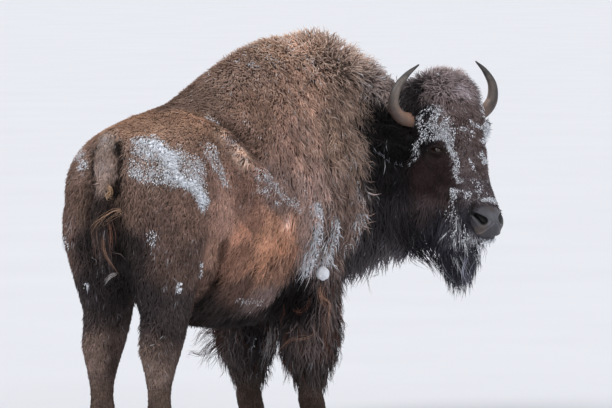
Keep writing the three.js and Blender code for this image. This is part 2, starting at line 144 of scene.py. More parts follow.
def gather(points: Array, size: float, seed: int) -> tuple[Array, Array]:
    """The lock that each hair belongs to.

    Args:
        points: Roots of hairs.
        size: How far apart the locks are.
        seed: Which set of locks.

    Returns:
        The middle of the nearest lock, from one jittered middle in each cell of a lattice, and the lock's
        own chance number.
    """
    base = np.floor(points / size)
    best = np.full(len(points), np.inf)
    middle, lot = np.zeros_like(points), np.zeros(len(points))
    for step in product((-1, 0, 1), repeat=3):
        cell = base + step
        at = (cell + np.stack([chance_of(cell, seed + k) for k in range(3)], -1)) * size
        far = ((at - points) ** 2).sum(1)
        nearer = far < best
        best = np.where(nearer, far, best)
        middle[nearer] = at[nearer]
        lot = np.where(nearer, chance_of(cell, seed + 3), lot)
    return middle, lot


def squares(points: Array, places: Array) -> Array:
    """The squared distance from each point to each place, one row a point."""
    return (points**2).sum(1)[:, None] - 2 * points @ places.T + (places**2).sum(1)[None]


def blend(points: Array, places: Array, reaches: Array, values: Array) -> Array:
    """Values spread from places over all points.

    Args:
        points: Where the values are wanted.
        places: Where they are given.
        reaches: How far each place's say goes.
        values: One row of values a place.

    Returns:
        The mean of the rows, each weighted by 1 over the cube of (0.12 + squared distance in reaches).
    """
    share = 1 / (0.12 + np.maximum(squares(points, places), 0) / reaches[None] ** 2) ** 3
    return share @ values / share.sum(1, keepdims=True)


def line_distance(points: Array, start: Array, end: Array, outward: Array | None = None) -> Array:
    """How far each point is from the straight line between two places.

    Args:
        points: The points.
        start: One end of the line.
        end: Its other end.
        outward: The surface's direction at each point, if the line is one drawn on the surface.

    Returns:
        The distance, with up to 5 cm of what lies along the surface's direction left out.
    """
    run = end - start
    t = np.clip((points - start) @ run / max(float(run @ run), 1e-12), 0, 1)
    away = points - start - t[:, None] * run
    if outward is None:
        return np.linalg.norm(away, axis=1)
    flat = np.linalg.norm(levelled(away, outward), axis=1)
    return np.hypot(flat, np.maximum(np.abs((away * outward).sum(1)) - 0.05, 0))


def route_distance(points: Array, route: Sequence[Triple]) -> Array:
    """How far each point is from the nearest line between neighbours on a route."""
    ends = np.array(route)
    return np.minimum.reduce([line_distance(points, a, b) for a, b in zip(ends, ends[1:])])


def bell(values: Array, middle: float, width: float) -> Array:
    """E to the minus squared distance from the middle, in widths."""
    return np.exp(-(((values - middle) / width) ** 2))


def curve_through(knots: Array, steps: int) -> tuple[Array, Array]:
    """A smooth curve through knots and the share of the way at each point.

    Args:
        knots: One row of numbers a knot.
        steps: How many points to give.

    Returns:
        Points of a Catmull-Rom curve, whose slope at a knot is half the way between its neighbours, and
        their shares from 0 to 1.
    """
    ends = np.vstack([2 * knots[0] - knots[1], knots, 2 * knots[-1] - knots[-2]])
    at = np.linspace(0, len(knots) - 1, steps)
    i = np.minimum(at.astype(int), len(knots) - 2)
    t = (at - i)[:, None]
    a, b, c, d = (ends[i + k] for k in range(4))
    points = 0.5 * (
        2 * b + (c - a) * t + (2 * a - 5 * b + 4 * c - d) * t**2 + (3 * b - a - 3 * c + d) * t**3
    )
    return points, at / (len(knots) - 1)


# ---------------------------------------------------------------- meshes


@dataclass
class Shell:
    """A mesh in the making: its points, and its faces as arrays of three or four numbers a face."""

    points: Array
    faces: list[Array]

    def joined(self, other: Shell) -> Shell:
        """This shell and another as one."""
        moved = [f + len(self.points) for f in other.faces]
        return Shell(np.vstack([self.points, other.points]), [*self.faces, *moved])

    def flipped(self) -> Shell:
        """This shell with its faces the other way round."""
        return Shell(self.points, [f[:, ::-1] for f in self.faces])

    def placed(self, middle: Array, axes: Array) -> Shell:
        """This shell carried from axes of its own to the frame's."""
        return Shell(middle + self.points @ axes.T, self.faces)

    def mesh(self, name: str) -> bpy.types.Mesh:
        """The shell as a smooth mesh.

        Args:
            name: The mesh's name.

        Returns:
            A mesh with the points and faces set as whole arrays.
        """
        made = bpy.data.meshes.new(name)
        made.vertices.add(len(self.points))
        made.vertices.foreach_set("co", self.points.astype(np.float32).ravel())
        corners = np.concatenate([f.ravel() for f in self.faces])
        counts = np.concatenate([np.full(len(f), f.shape[1]) for f in self.faces])
        made.loops.add(len(corners))
        made.loops.foreach_set("vertex_index", corners.astype(np.int32))
        made.polygons.add(len(counts))
        made.polygons.foreach_set("loop_start", (np.cumsum(counts) - counts).astype(np.int32))
        made.polygons.foreach_set("use_smooth", np.ones(len(counts), bool))
        made.update(calc_edges=True)
        made.validate()
        return made


def walls(rows: int, sides: int) -> Array:
    """Four-sided faces between neighbours on a grid of rings.

    Args:
        rows: How many rings there are.
        sides: How many points each has, numbered ring by ring.

    Returns:
        One row of four numbers a face.
    """
    at = np.arange(rows * sides).reshape(rows, sides)
    after = np.roll(at, -1, axis=1)
    return np.stack([at[:-1], at[1:], after[1:], after[:-1]], -1).reshape(-1, 4)


def fan(middle: int, first: int, sides: int) -> Array:
    """Three-sided faces from a middle point to a ring of points numbered from the first."""
    ring = np.arange(first, first + sides)
    return np.stack([np.full(sides, middle), ring, np.roll(ring, -1)], -1)


def tube(rings: Array) -> Shell:
    """A closed skin over rings of points.

    Args:
        rings: Ring by ring, point by point, in metres. Going round a ring is clockwise as seen from the
            last ring.

    Returns:
        Four-sided faces between neighbours on the grid, and a fan of three-sided faces from the middle of
        each end ring.
    """
    rows, sides = rings.shape[:2]
    count = rows * sides
    caps = [fan(count, 0, sides), fan(count + 1, count - sides, sides)[:, [0, 2, 1]]]
    points = np.vstack([rings.reshape(-1, 3), rings[0].mean(0)[None], rings[-1].mean(0)[None]])
    return Shell(points, [walls(rows, sides), np.vstack(caps)])


def numbers_of(things: bpy.types.bpy_prop_collection, name: str, width: int = 1) -> Array:
    """One whole-number property of all the things in a collection.

    Args:
        things: The collection.
        name: The property.
        width: How many numbers each thing has.

    Returns:
        One number a thing, or one row of numbers.
    """
    flat = np.empty(len(things) * width, np.int32)
    things.foreach_get(name, flat)
    return flat.reshape(-1, width) if width > 1 else flat


def vectors_of(things: bpy.types.bpy_prop_collection, name: str) -> Array:
    """One vector property of all the things in a collection.

    Args:
        things: The collection.
        name: The property.

    Returns:
        One row of three numbers a thing.
    """
    flat = np.empty(len(things) * 3, np.float32)
    things.foreach_get(name, flat)
    return flat.reshape(-1, 3).astype(float)


def points_of(mesh: bpy.types.Mesh) -> Array:
    """A mesh's points as rows."""
    return vectors_of(mesh.vertices, "co")


def put_points(mesh: bpy.types.Mesh, points: Array) -> None:
    """Sets a mesh's points from rows."""
    mesh.vertices.foreach_set("co", points.astype(np.float32).ravel())
    mesh.update()


def normals_of(mesh: bpy.types.Mesh) -> Array:
    """A mesh's outward direction at each point."""
    return vectors_of(mesh.vertex_normals, "vector")


def evened(mesh: bpy.types.Mesh, points: Array, share: float | Array, rounds: int) -> None:
    """Sets a mesh's points, drawn towards the mean of their neighbours.

    Args:
        mesh: The mesh, which is changed.
        points: Where its points start.
        share: How much of the way each point goes in a round.
        rounds: How many rounds.
    """
    edges = numbers_of(mesh.edges, "vertices", 2)
    count = np.maximum(np.bincount(edges.ravel(), minlength=len(points)), 1)
    both, other = edges.T.ravel(), edges[:, ::-1].T.ravel()
    for _ in range(rounds):
        mean = np.stack([np.bincount(both, points[other, k], len(points)) for k in range(3)], 1)
        points = points + np.reshape(share, (-1, 1)) * (mean / count[:, None] - points)
    put_points(mesh, points)


def put_values(mesh: bpy.types.Mesh, name: str, values: Array) -> None:
    """Keeps a number or a colour for each of a mesh's points.

    Args:
        mesh: The mesh.
        name: The attribute's name, which its finish reads.
        values: A number a point, or three for a colour.
    """
    if values.ndim == 1:
        layer = mesh.attributes.new(name, "FLOAT", "POINT")
        layer.data.foreach_set("value", values.astype(np.float32))
        return
    layer = mesh.attributes.new(name, "FLOAT_COLOR", "POINT")
    full = np.hstack([values, np.ones((len(values), 1))])
    layer.data.foreach_set("color", full.astype(np.float32).ravel())


def put_hair(mesh: bpy.types.Mesh, values: list[Array], flat: Array) -> None:
    """Keeps what the hair's finish reads, and the unwrap.

    Args:
        mesh: Tufts or locks of hair.
        values: Rows of along, chance, frost and the three of tint, one row a point.
        flat: The unwrap's two numbers for each corner of each face.
    """
    table = np.vstack(values)
    for k, layer in enumerate(("along", "chance", "frost")):
        put_values(mesh, layer, table[:, k])
    put_values(mesh, "tint", table[:, 3:])
    mesh.uv_layers.new(name="OFBake").uv.foreach_set("vector", flat.astype(np.float32).ravel())


def piece(
    name: str,
    mesh: bpy.types.Mesh,
    material: bpy.types.Material,
    replaces: tuple[str, ...] = (),
) -> None:
    """Puts a mesh in the scene as a piece of the animal.

    Args:
        name: The piece's name.
        mesh: Its mesh, already in place.
        material: Its finish.
        replaces: The frame's nodes that it is shown in place of.
    """
    made = bpy.data.objects.new(name, mesh)
    bpy.context.scene.collection.objects.link(made)
    mesh.materials.append(material)
    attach(made, "root")
    if replaces:
        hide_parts(*replaces)
    LOG.info("%s: %d faces", name, len(mesh.polygons))


def box_of(node: str) -> tuple[Array, Array]:
    """The low and the high corner of a node of the frame."""
    low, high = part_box(node)
    return np.array(low), np.array(high)


# ---------------------------------------------------------------- how the animal stands


class Home(Enum):
    """The measure that a place on the animal is given in."""

    SPINE = "along the spine from the rump, out from the midline, height"
    HEAD = "down the face from the poll, out to the side, up off the face"
    BEARD = "ahead of the poll, out to the side, height"


def turned(degrees: float, axis: int) -> Array:
    """The turn about one axis.

    Args:
        degrees: How far it turns.
        axis: 0, 1 or 2 for x, y or z.

    Returns:
        A matrix whose columns are the turned axes.
    """
    angle = np.radians(degrees)
    c, s = np.cos(angle), np.sin(angle)
    a, b = [(1, 2), (2, 0), (0, 1)][axis]
    made = np.eye(3)
    made[a, a], made[a, b], made[b, a], made[b, b] = c, -s, s, c
    return made


def flips(both: bool) -> list[Array]:
    """What a place is multiplied by: to stay where it is and, on both sides, to be mirrored."""
    return [np.array([1, side, 1]) for side in ((1, -1) if both else (1,))]


@dataclass(frozen=True)
class Stance:
    """Where the spine and the head lie, from the feet and the eyes of the frame.

    The spine is straight from the rump and then turns right along an arc. The head has its own axes.
    """

    heel_ahead: float = 0.181  # of the hind hooves, from the hindmost point of the rump
    turn_along: float = 1.122
    turn_radius: float = 0.573
    head_turn: float = -105.0
    head_pitch: float = 60.0
    head_roll: float = 3.0
    eye_down: float = 0.224
    eye_up: float = -0.042

    @property
    def rump_x(self) -> float:
        """The hindmost point of the rump along X."""
        heels = [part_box(f"hoof_hind_{side}_inner")[0].x for side in "lr"]
        return sum(heels) / 2 - self.heel_ahead

    @property
    def mid_y(self) -> float:
        """The middle of the body across."""
        return (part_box("hoof_hind_l_outer")[1].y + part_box("hoof_hind_r_outer")[0].y) / 2

    @property
    def head(self) -> Array:
        """The head's axes as columns: down the face, to the animal's left, up off the face."""
        return turned(self.head_turn, 2) @ turned(self.head_pitch, 1) @ turned(self.head_roll, 0)

    @property
    def poll(self) -> Array:
        """The top of the skull, from which the head is measured."""
        eyes = [sum(box_of(node)) / 2 for node in ("eye_l", "eye_r")]
        return (eyes[0] + eyes[1]) / 2 - self.head @ np.array([self.eye_down, 0, self.eye_up])

    def axes(self, home: Home, at: Array) -> Array:
        """The axes at a place, as columns.

        Args:
            home: The measure.
            at: The place in it.

        Returns:
            A 3 by 3 matrix.
        """
        if home is Home.HEAD:
            return self.head
        if home is Home.BEARD:
            return turned(self.head_turn, 2)
        return turned(-np.degrees(max(0.0, at[0] - self.turn_along) / self.turn_radius), 2)

    def place(self, home: Home, at: Sequence[float]) -> Array:
        """A place on the animal in the frame's axes.

        Args:
            home: The measure.
            at: The place in it.

        Returns:
            The point, in metres.
        """
        at = np.asarray(at, float)
        if home is Home.HEAD:
            return self.poll + self.head @ at
        if home is Home.BEARD:
            return self.poll * [1, 1, 0] + turned(self.head_turn, 2) @ at
        turn = max(0.0, at[0] - self.turn_along) / self.turn_radius
        x, y = min(at[0], self.turn_along), at[1]
        if turn > 0:
            reach = self.turn_radius + y
            x, y = x + reach * np.sin(turn), reach * np.cos(turn) - self.turn_radius
        return np.array([self.rump_x + x, self.mid_y + y, at[2]])

    def along_spine(self, points: Array) -> Array:
        """Points in the spine's measure.

        Args:
            points: Places in the frame's axes.

        Returns:
            Distance along, distance out to the left, and height.
        """
        x, y = points[:, 0] - self.rump_x, points[:, 1] - self.mid_y
        past = x - self.turn_along
        turn = np.arctan2(np.maximum(past, 0), y + self.turn_radius)
        bent = past > 0
        along = np.where(bent, self.turn_along + turn * self.turn_radius, x)
        out = np.where(bent, np.hypot(past, y + self.turn_radius) - self.turn_radius, y)
        return np.stack([along, out, points[:, 2]], 1)

    def in_head(self, points: Array) -> Array:
        """Points in the head's measure."""
        return (points - self.poll) @ self.head

    def in_half_head(self, points: Array) -> Array:
        """Carries points to the head's measure and lays its right side over its left.

        Args:
            points: Places in the frame.

        Returns:
            The places in the head's axes, none with a negative second number.
        """
        head = self.in_head(points)
        head[:, 1] = np.abs(head[:, 1])
        return head


STANCE = Stance()


# ---------------------------------------------------------------- the lie of the coat


class Patch(Enum):
    """A stretch of coat that is a piece of its own, on each side of the animal."""

    RUMP = "rump"
    THIGHS = "thigh"
    FLANKS = "flank"
    BELLY = "belly"
    HUMP = "hump"
    SHOULDERS = "shoulder"
    NECK = "neck"
    THROAT = "throat"
    CHAPS = "chaps"
    SHANKS = "shank"
    TAIL = "tail"
    CROWN = "crown"
    FACE = "face"
    CHEEKS = "cheek"
    BEARD = "beard"
    EARS = "ear"

    @property
    def number(self) -> int:
        """Its place in the order of patches."""
        return list(Patch).index(self)


@dataclass(frozen=True)
class Lay:
    """How the hair lies round one place, and round its mirror on the other side.

    Lengths are metres. lie is in the home's axes and outward on both sides. lift is degrees off the skin,
    depth is the coat's own, hang adds the pull of weight, wave is crimp, bunch draws tips into locks,
    cover is how many tufts lie over each spot, and proud is how many depths a tip may stand off the skin.
    """

    home: Home
    patch: Patch
    at: Triple
    reach: float
    lie: Triple
    length: float
    width: float
    lift: float
    depth: float
    wave: float = 0.3
    hang: float = 0.0
    bunch: float = 0.5
    cover: float = 4.0
    proud: float = 1.45


S, H, B = Home.SPINE, Home.HEAD, Home.BEARD
P = Patch
LAYS = [
    Lay(home, patch, *row)
    for home, patch, rows in [
        (S, P.RUMP, [
            ((0.18, 0, 1.27), 0.14, (-1, 0, -0.2), 0.034, 0.0052, 26, 0.010),
            ((0.06, 0.16, 1.10), 0.10, (-0.55, 0.25, -0.8), 0.040, 0.0050, 38, 0.010, 0.4, 0, 0.5, 4.0, 2.4),
            ((0.01, 0.10, 0.90), 0.10, (-0.2, 0.2, -1), 0.046, 0.0052, 36, 0.012, 0.5, 0, 0.5, 4.0, 2.4),
            ((0.40, 0.18, 1.26), 0.12, (-0.9, 0.1, -0.4), 0.034, 0.0052, 26, 0.010),
            ((0.28, 0.28, 1.02), 0.15, (-0.6, 0, -0.8), 0.034, 0.0052, 25, 0.010),
        ]),
        (S, P.THIGHS, [
            ((0.20, 0.27, 0.76), 0.13, (-0.35, 0, -1), 0.038, 0.0055, 26, 0.011, 0.4),
            ((0.42, 0.20, 0.66), 0.10, (-0.1, 0, -1), 0.042, 0.0055, 26, 0.012, 0.4),
            ((0.20, 0.05, 0.66), 0.08, (-0.1, 0, -1), 0.046, 0.0052, 34, 0.010, 0.5, 0.1, 0.6, 4.0, 2.4),
            ((0.02, 0.16, 0.70), 0.09, (-0.2, 0, -1), 0.052, 0.0052, 36, 0.014, 0.6, 0.1, 0.6, 4.0, 2.4),
            ((0.22, 0.21, 0.53), 0.09, (-0.1, 0, -1), 0.040, 0.0052, 25, 0.011, 0.4),
            ((0.09, 0.15, 0.48), 0.07, (-0.3, 0, -1), 0.060, 0.0050, 36, 0.015, 0.7, 0.1, 0.6, 4.0, 2.2),
        ]),
        (S, P.FLANKS, [
            ((0.62, 0.25, 1.15), 0.12, (-0.75, 0, -0.6), 0.036, 0.0055, 26, 0.011),
            ((0.65, 0.29, 0.90), 0.16, (-0.7, 0, -0.7), 0.036, 0.0052, 24, 0.010),
            ((0.60, 0.22, 0.62), 0.12, (-0.6, 0, -0.9), 0.048, 0.0055, 26, 0.014, 0.4),
            ((0.60, 0, 1.38), 0.12, (-1, 0, -0.2), 0.038, 0.0052, 24, 0.013, 0.4, 0, 0.5, 4.0, 1.1),
            ((0.88, 0.30, 0.98), 0.16, (-0.45, 0, -0.9), 0.046, 0.0058, 26, 0.014, 0.5),
            ((0.85, 0.18, 1.36), 0.12, (-0.6, 0.1, -0.7), 0.048, 0.0058, 30, 0.017, 0.5),
            ((0.86, 0.25, 0.64), 0.13, (-0.4, 0, -0.9), 0.060, 0.0060, 26, 0.018, 0.5),
        ]),
        (S, P.BELLY, [
            ((0.50, 0, 0.52), 0.12, (-0.9, 0, -0.2), 0.055, 0.0060, 26, 0.016, 0.5, 0.4),
            ((0.90, 0.04, 0.44), 0.16, (-0.8, 0, -0.3), 0.085, 0.0065, 26, 0.022, 0.6, 0.5),
        ]),
        (S, P.HUMP, [
            ((1.25, 0, 1.595), 0.13, (-0.6, 0, -0.1), 0.060, 0.0046, 52, 0.028, 0.9, 0, 0.6, 4, 2.1),
            ((1.43, 0.05, 1.56), 0.10, (-0.1, 0.2, 0.1), 0.112, 0.0048, 72, 0.031, 0.7, 0, 0.5, 4.5, 3.6),
            ((1.00, 0, 1.545), 0.13, (-0.9, 0, -0.2), 0.050, 0.0048, 42, 0.022, 0.7, 0, 0.6, 4.0, 1.75),
            ((1.12, 0.17, 1.42), 0.13, (-0.35, 0.1, -0.9), 0.056, 0.0048, 34, 0.022, 0.7, 0, 0.7, 4.0, 1.75),
        ]),
        (S, P.SHOULDERS, [
            ((1.20, 0.28, 1.20), 0.14, (-0.25, 0, -1), 0.066, 0.0050, 27, 0.024, 0.8, 0, 0.8, 4.0, 1.75),
            ((1.15, 0.32, 0.95), 0.15, (-0.25, 0, -1), 0.080, 0.0052, 24, 0.026, 0.8, 0, 0.9, 4.0, 1.75),
            ((1.10, 0.28, 0.70), 0.12, (-0.3, 0, -1), 0.088, 0.0056, 24, 0.028, 0.9, 0.2, 0.9, 4.0, 1.75),
            ((1.38, 0.30, 1.10), 0.13, (-0.05, 0, -1), 0.080, 0.0052, 26, 0.028, 0.8, 0, 0.9, 4.0, 1.75),
            ((1.36, 0.28, 0.80), 0.12, (-0.05, 0, -1), 0.090, 0.0056, 26, 0.030, 0.9, 0.2, 0.9, 4.0, 1.75),
        ]),
        (S, P.THROAT, [
            ((1.40, 0.02, 0.56), 0.14, (0, 0, -1), 0.130, 0.0070, 22, 0.040, 0.8, 0.8, 0.9, 4.0, 1.75),
        ]),
        (S, P.NECK, [
            ((1.60, 0, 1.50), 0.10, (0.2, 0.1, 0), 0.108, 0.0048, 70, 0.034, 0.7, 0, 0.5, 4.5, 3.2),
            ((1.68, 0.16, 1.34), 0.11, (0.1, 0.2, -1), 0.080, 0.0052, 32, 0.032, 0.9, 0.1, 0.8, 4.0, 1.75),
            ((1.74, 0.19, 1.10), 0.12, (0.05, 0, -1), 0.080, 0.0052, 27, 0.030, 0.8, 0.1, 0.8, 4.0, 1.75),
            ((1.70, 0.16, 0.86), 0.11, (0.05, 0, -1), 0.095, 0.0065, 24, 0.034, 0.9, 0.3, 0.9, 4.0, 1.75),
        ]),
        (S, P.SHOULDERS, [
            ((1.50, 0.22, 1.22), 0.10, (0, 0, -1), 0.078, 0.0052, 30, 0.030, 0.8, 0, 0.9, 4.0, 1.75),
            ((1.52, 0.23, 0.98), 0.10, (0, 0, -1), 0.080, 0.0052, 28, 0.030, 0.8, 0, 0.9, 4.0, 1.75),
            ((1.50, 0.20, 0.80), 0.09, (0, 0, -1), 0.085, 0.0062, 28, 0.030, 0.8, 0.2, 0.9, 4.0, 1.75),
        ]),
        (S, P.THROAT, [
            ((1.72, 0.02, 0.68), 0.13, (0.05, 0, -1), 0.170, 0.0075, 18, 0.050, 0.7, 1.0, 1.0, 4.0, 1.75),
            ((1.60, 0.09, 0.68), 0.11, (0, 0, -1), 0.150, 0.0075, 18, 0.046, 0.8, 0.9, 1.0, 4.0, 1.75),
        ]),
        (S, P.CHAPS, [
            ((1.24, 0.30, 0.56), 0.10, (-0.1, 0, -1), 0.105, 0.0070, 24, 0.032, 0.9, 0.3, 1.0, 4.0, 1.75),
            ((1.24, 0.05, 0.48), 0.08, (-0.05, 0, -1), 0.100, 0.0070, 24, 0.030, 0.8, 0.4, 0.9, 4.0, 1.75),
            ((1.09, 0.17, 0.48), 0.09, (-0.3, 0, -1), 0.125, 0.0072, 27, 0.034, 0.9, 0.4, 1.0, 4.0, 1.75),
            ((1.38, 0.17, 0.48), 0.09, (0.1, 0, -1), 0.115, 0.0072, 24, 0.034, 0.9, 0.4, 1.0, 4.0, 1.75),
            ((1.24, 0.18, 0.33), 0.08, (-0.05, 0, -1), 0.110, 0.0068, 20, 0.032, 0.9, 0.5, 1.0, 4.0, 1.75),
        ]),
        (S, P.SHANKS, [
            ((1.24, 0.16, 0.17), 0.07, (0, 0, -1), 0.022, 0.0042, 18, 0.004, 0.2, 0, 0.4, 3.2),
            ((1.26, 0.16, 0.08), 0.06, (0.1, 0, -1), 0.020, 0.0040, 20, 0.004, 0.2, 0, 0.4, 3.2),
            ((1.18, 0.16, 0.12), 0.04, (-0.4, 0, -1), 0.036, 0.0040, 30, 0.008, 0.4),
            ((0.20, 0.15, 0.38), 0.09, (-0.1, 0, -1), 0.030, 0.0045, 22, 0.008),
            ((0.20, 0.15, 0.23), 0.08, (0, 0, -1), 0.022, 0.0042, 18, 0.004, 0.2, 0, 0.4, 3.2),
            ((0.22, 0.15, 0.08), 0.06, (0.1, 0, -1), 0.020, 0.0040, 20, 0.004, 0.2, 0, 0.4, 3.2),
            ((0.14, 0.15, 0.12), 0.04, (-0.4, 0, -1), 0.036, 0.0040, 30, 0.008, 0.4),
        ]),
        (S, P.TAIL, [
            ((0.05, 0, 1.21), 0.045, (-0.5, 0, -0.9), 0.024, 0.0042, 20, 0.006, 0.4),
            ((0.00, 0, 1.11), 0.045, (0, 0, -1), 0.026, 0.0042, 20, 0.006, 0.4),
            ((0.00, 0, 1.02), 0.045, (0, 0, -1), 0.045, 0.0048, 18, 0.008, 0.8, 0.3, 0.8),
            ((0.00, 0, 0.90), 0.055, (0, 0, -1), 0.085, 0.0052, 14, 0.014, 0.9, 0.5, 1.0),
            ((0.02, 0, 0.77), 0.060, (0, 0, -1), 0.090, 0.0055, 12, 0.018, 0.9, 0.7, 1.0),
        ]),
        (H, P.CROWN, [
            ((-0.09, 0, 0.06), 0.09, (0.2, 0, 0.4), 0.064, 0.0038, 58, 0.036, 1.0, 0, 0.5, 5, 2.0),
            ((-0.03, 0.12, 0.03), 0.06, (0.1, 0.5, 0.2), 0.074, 0.0038, 60, 0.030, 1.0, 0, 0.4, 5, 2.8),
            ((-0.08, 0.10, 0.04), 0.05, (-0.3, 0.5, 0.3), 0.084, 0.0038, 66, 0.034, 1.0, 0, 0.4, 5, 2.7),
            ((0.07, 0.165, -0.05), 0.030, (0.1, 1, 0.2), 0.050, 0.0034, 66, 0.016, 0.9, 0, 0.3, 6, 3.2),
            ((-0.13, 0.06, -0.12), 0.09, (-0.4, 0.2, -0.4), 0.082, 0.0046, 48, 0.034, 0.9, 0, 0.6, 4, 2.2),
            ((0.06, 0, 0.10), 0.08, (1, 0, 0), 0.050, 0.0040, 44, 0.026, 0.9, 0, 0.5, 5),
            ((0.07, 0.11, 0.06), 0.07, (0.9, 0.5, 0), 0.050, 0.0040, 40, 0.024, 0.9, 0, 0.5, 5),
            ((0.16, 0.02, 0.065), 0.07, (1, 0.2, 0), 0.038, 0.0034, 42, 0.016, 0.9, 0, 0.4, 4, 2.0),
        ]),
        (H, P.FACE, [
            ((0.18, 0.10, 0.015), 0.05, (0.5, 0.6, 0), 0.022, 0.0030, 32, 0.010, 0.6, 0, 0.3),
            ((0.24, 0.125, -0.05), 0.035, (0.6, 0, -0.4), 0.010, 0.0022, 22, 0.004, 0.2, 0, 0.1),
            ((0.32, 0, 0.02), 0.08, (0.9, 0.1, 0), 0.027, 0.0028, 44, 0.007, 0.9, 0, 0.5, 4, 2.9),
            ((0.36, 0.085, -0.03), 0.06, (0.6, 0, -0.6), 0.020, 0.0028, 32, 0.006, 0.6, 0, 0.4, 4, 2.2),
            ((0.44, 0.02, 0), 0.06, (1, 0.2, 0), 0.024, 0.0026, 42, 0.005, 0.7, 0, 0.4, 4, 3.6),
            ((0.50, 0.078, -0.06), 0.04, (0.7, 0, -0.6), 0.012, 0.0025, 24, 0.003, 0.3, 0, 0.2, 3),
            ((0.58, 0.04, -0.12), 0.05, (0.4, 0, -1), 0.018, 0.0026, 30, 0.005, 0.5, 0.2, 0.3, 3),
            ((0.60, 0, -0.03), 0.06, (0.5, 0, -1), 0.008, 0.0024, 20, 0.001, 0.2, 0, 0, 1),
        ]),
        (H, P.CHEEKS, [
            ((0.28, 0.135, -0.12), 0.08, (0.35, 0, -0.9), 0.020, 0.0034, 20, 0.008, 0.4, 0, 0.3),
            ((0.12, 0.165, -0.17), 0.08, (0.2, 0.1, -1), 0.050, 0.0042, 26, 0.020, 0.7, 0.1, 0.6),
            ((0.10, 0.16, -0.05), 0.06, (0.4, 0.3, -0.6), 0.040, 0.0042, 28, 0.018, 0.8),
            ((0.30, 0.10, -0.24), 0.08, (0.3, 0, -1), 0.055, 0.0044, 24, 0.018, 0.6, 0.5, 0.7),
            ((0.42, 0.07, -0.17), 0.06, (0.4, 0, -1), 0.040, 0.0042, 24, 0.012, 0.6, 0.4, 0.6),
        ]),
        (H, P.THROAT, [
            ((0.05, 0.08, -0.27), 0.09, (0.3, 0, -1), 0.110, 0.0065, 24, 0.032, 0.8, 0.6, 0.9, 4.0, 1.75),
        ]),
        (H, P.BEARD, [
            ((0.53, 0.02, -0.15), 0.05, (0.4, 0, -1), 0.060, 0.0045, 24, 0.012, 0.6, 0.7, 0.7, 4.0, 1.75),
        ]),
        (H, P.EARS, [
            ((0.12, 0.21, -0.11), 0.05, (-0.4, 0.9, -0.3), 0.032, 0.0036, 22, 0.006, 0.4, 0, 0.3),
            ((0.08, 0.28, -0.14), 0.05, (-0.2, 0.9, -0.4), 0.038, 0.0036, 22, 0.006, 0.5, 0, 0.3),
        ]),
        (B, P.BEARD, [
            ((0.06, 0.05, 0.87), 0.08, (0, 0, -1), 0.110, 0.0050, 16, 0.020, 0.7, 0.6, 0.9, 4.0, 1.75),
            ((0.00, 0.04, 0.77), 0.08, (-0.2, 0, -1), 0.140, 0.0052, 16, 0.028, 0.8, 0.8, 1.0, 4.0, 1.75),
            ((0.16, 0.04, 0.77), 0.08, (0.1, 0, -1), 0.120, 0.0052, 14, 0.028, 0.8, 0.8, 1.0, 4.0, 1.75),
            ((0.076, 0.02, 0.66), 0.07, (0, 0, -1), 0.110, 0.0050, 12, 0.026, 0.8, 0.9, 1.0, 4.0, 1.75),
        ]),
    ]
    for row in rows
]


DOWNWARD = np.array([0.0, 0.0, -1.0])
EYE_SLIT = [(0.214, 0.132, -0.066), (0.231, 0.127, -0.032), (0.243, 0.112, -0.008)]
NAKED_MIDDLE, NAKED_REACH = (0.556, 0.0, -0.030), (0.078, 0.092, 0.066)  # the muzzle's bare pad


@dataclass
class Hairs:
    """What the lays say at many roots, as arrays of one row a root."""

    lie: Array
    length: Array
    width: Array
    lift: Array
    depth: Array
    wave: Array
    hang: Array
    bunch: Array
    cover: Array
    proud: Array
    patch: Array


HAIR_NUMBERS = [f.name for f in fields(Hairs)][1:-1]


def is_of(numbers: Array, *patches: Patch) -> Array:
    """Whether each patch number is that of one of some patches."""
    return np.isin(numbers, [patch.number for patch in patches])


class Groom:
    """The lays on both sides of the animal, spread over its skin."""

    def __init__(self, lays: list[Lay]) -> None:
        """Puts each lay and its mirror in place.

        Args:
            lays: The lays of one side and of the midline.
        """
        places, reaches, rows, patches = [], [], [], []
        for lay in lays:
            for flip in flips(lay.at[1] != 0):
                at = lay.at * flip
                lie = STANCE.axes(lay.home, at) @ (np.array(lay.lie, float) * flip)
                places.append(STANCE.place(lay.home, at))
                reaches.append(lay.reach)
                patches.append(lay.patch.number)
                rows.append([*unit(lie), *(getattr(lay, name) for name in HAIR_NUMBERS)])
        self.places, self.reaches = np.array(places), np.array(reaches)
        self.rows, self.patches = np.array(rows), np.array(patches)

    def at(self, points: Array) -> Hairs:
        """What the lays say at some points.

        Args:
            points: Places on the skin.

        Returns:
            The blend of all lays, thinner and shorter round the eyes and bare on the muzzle, and the
            patch of the lay that has the most say.
        """
        said = blend(points, self.places, self.reaches, self.rows)
        hairs = dict(zip(HAIR_NUMBERS, said[:, 3:].T))
        slit = route_distance(STANCE.in_half_head(points), EYE_SLIT)
        hairs["cover"] = (
            hairs["cover"] * (1 - ramp(naked(points), 0.35, 0.6)) * (0.15 + 0.85 * ramp(slit, 0.008, 0.020))
        )
        hairs["length"] = hairs["length"] * (0.32 + 0.68 * ramp(slit, 0.014, 0.050))
        most = np.argmin(squares(points, self.places) / self.reaches[None] ** 2, axis=1)
        return Hairs(lie=unit(said[:, :3]), patch=self.patches[most], **hairs)


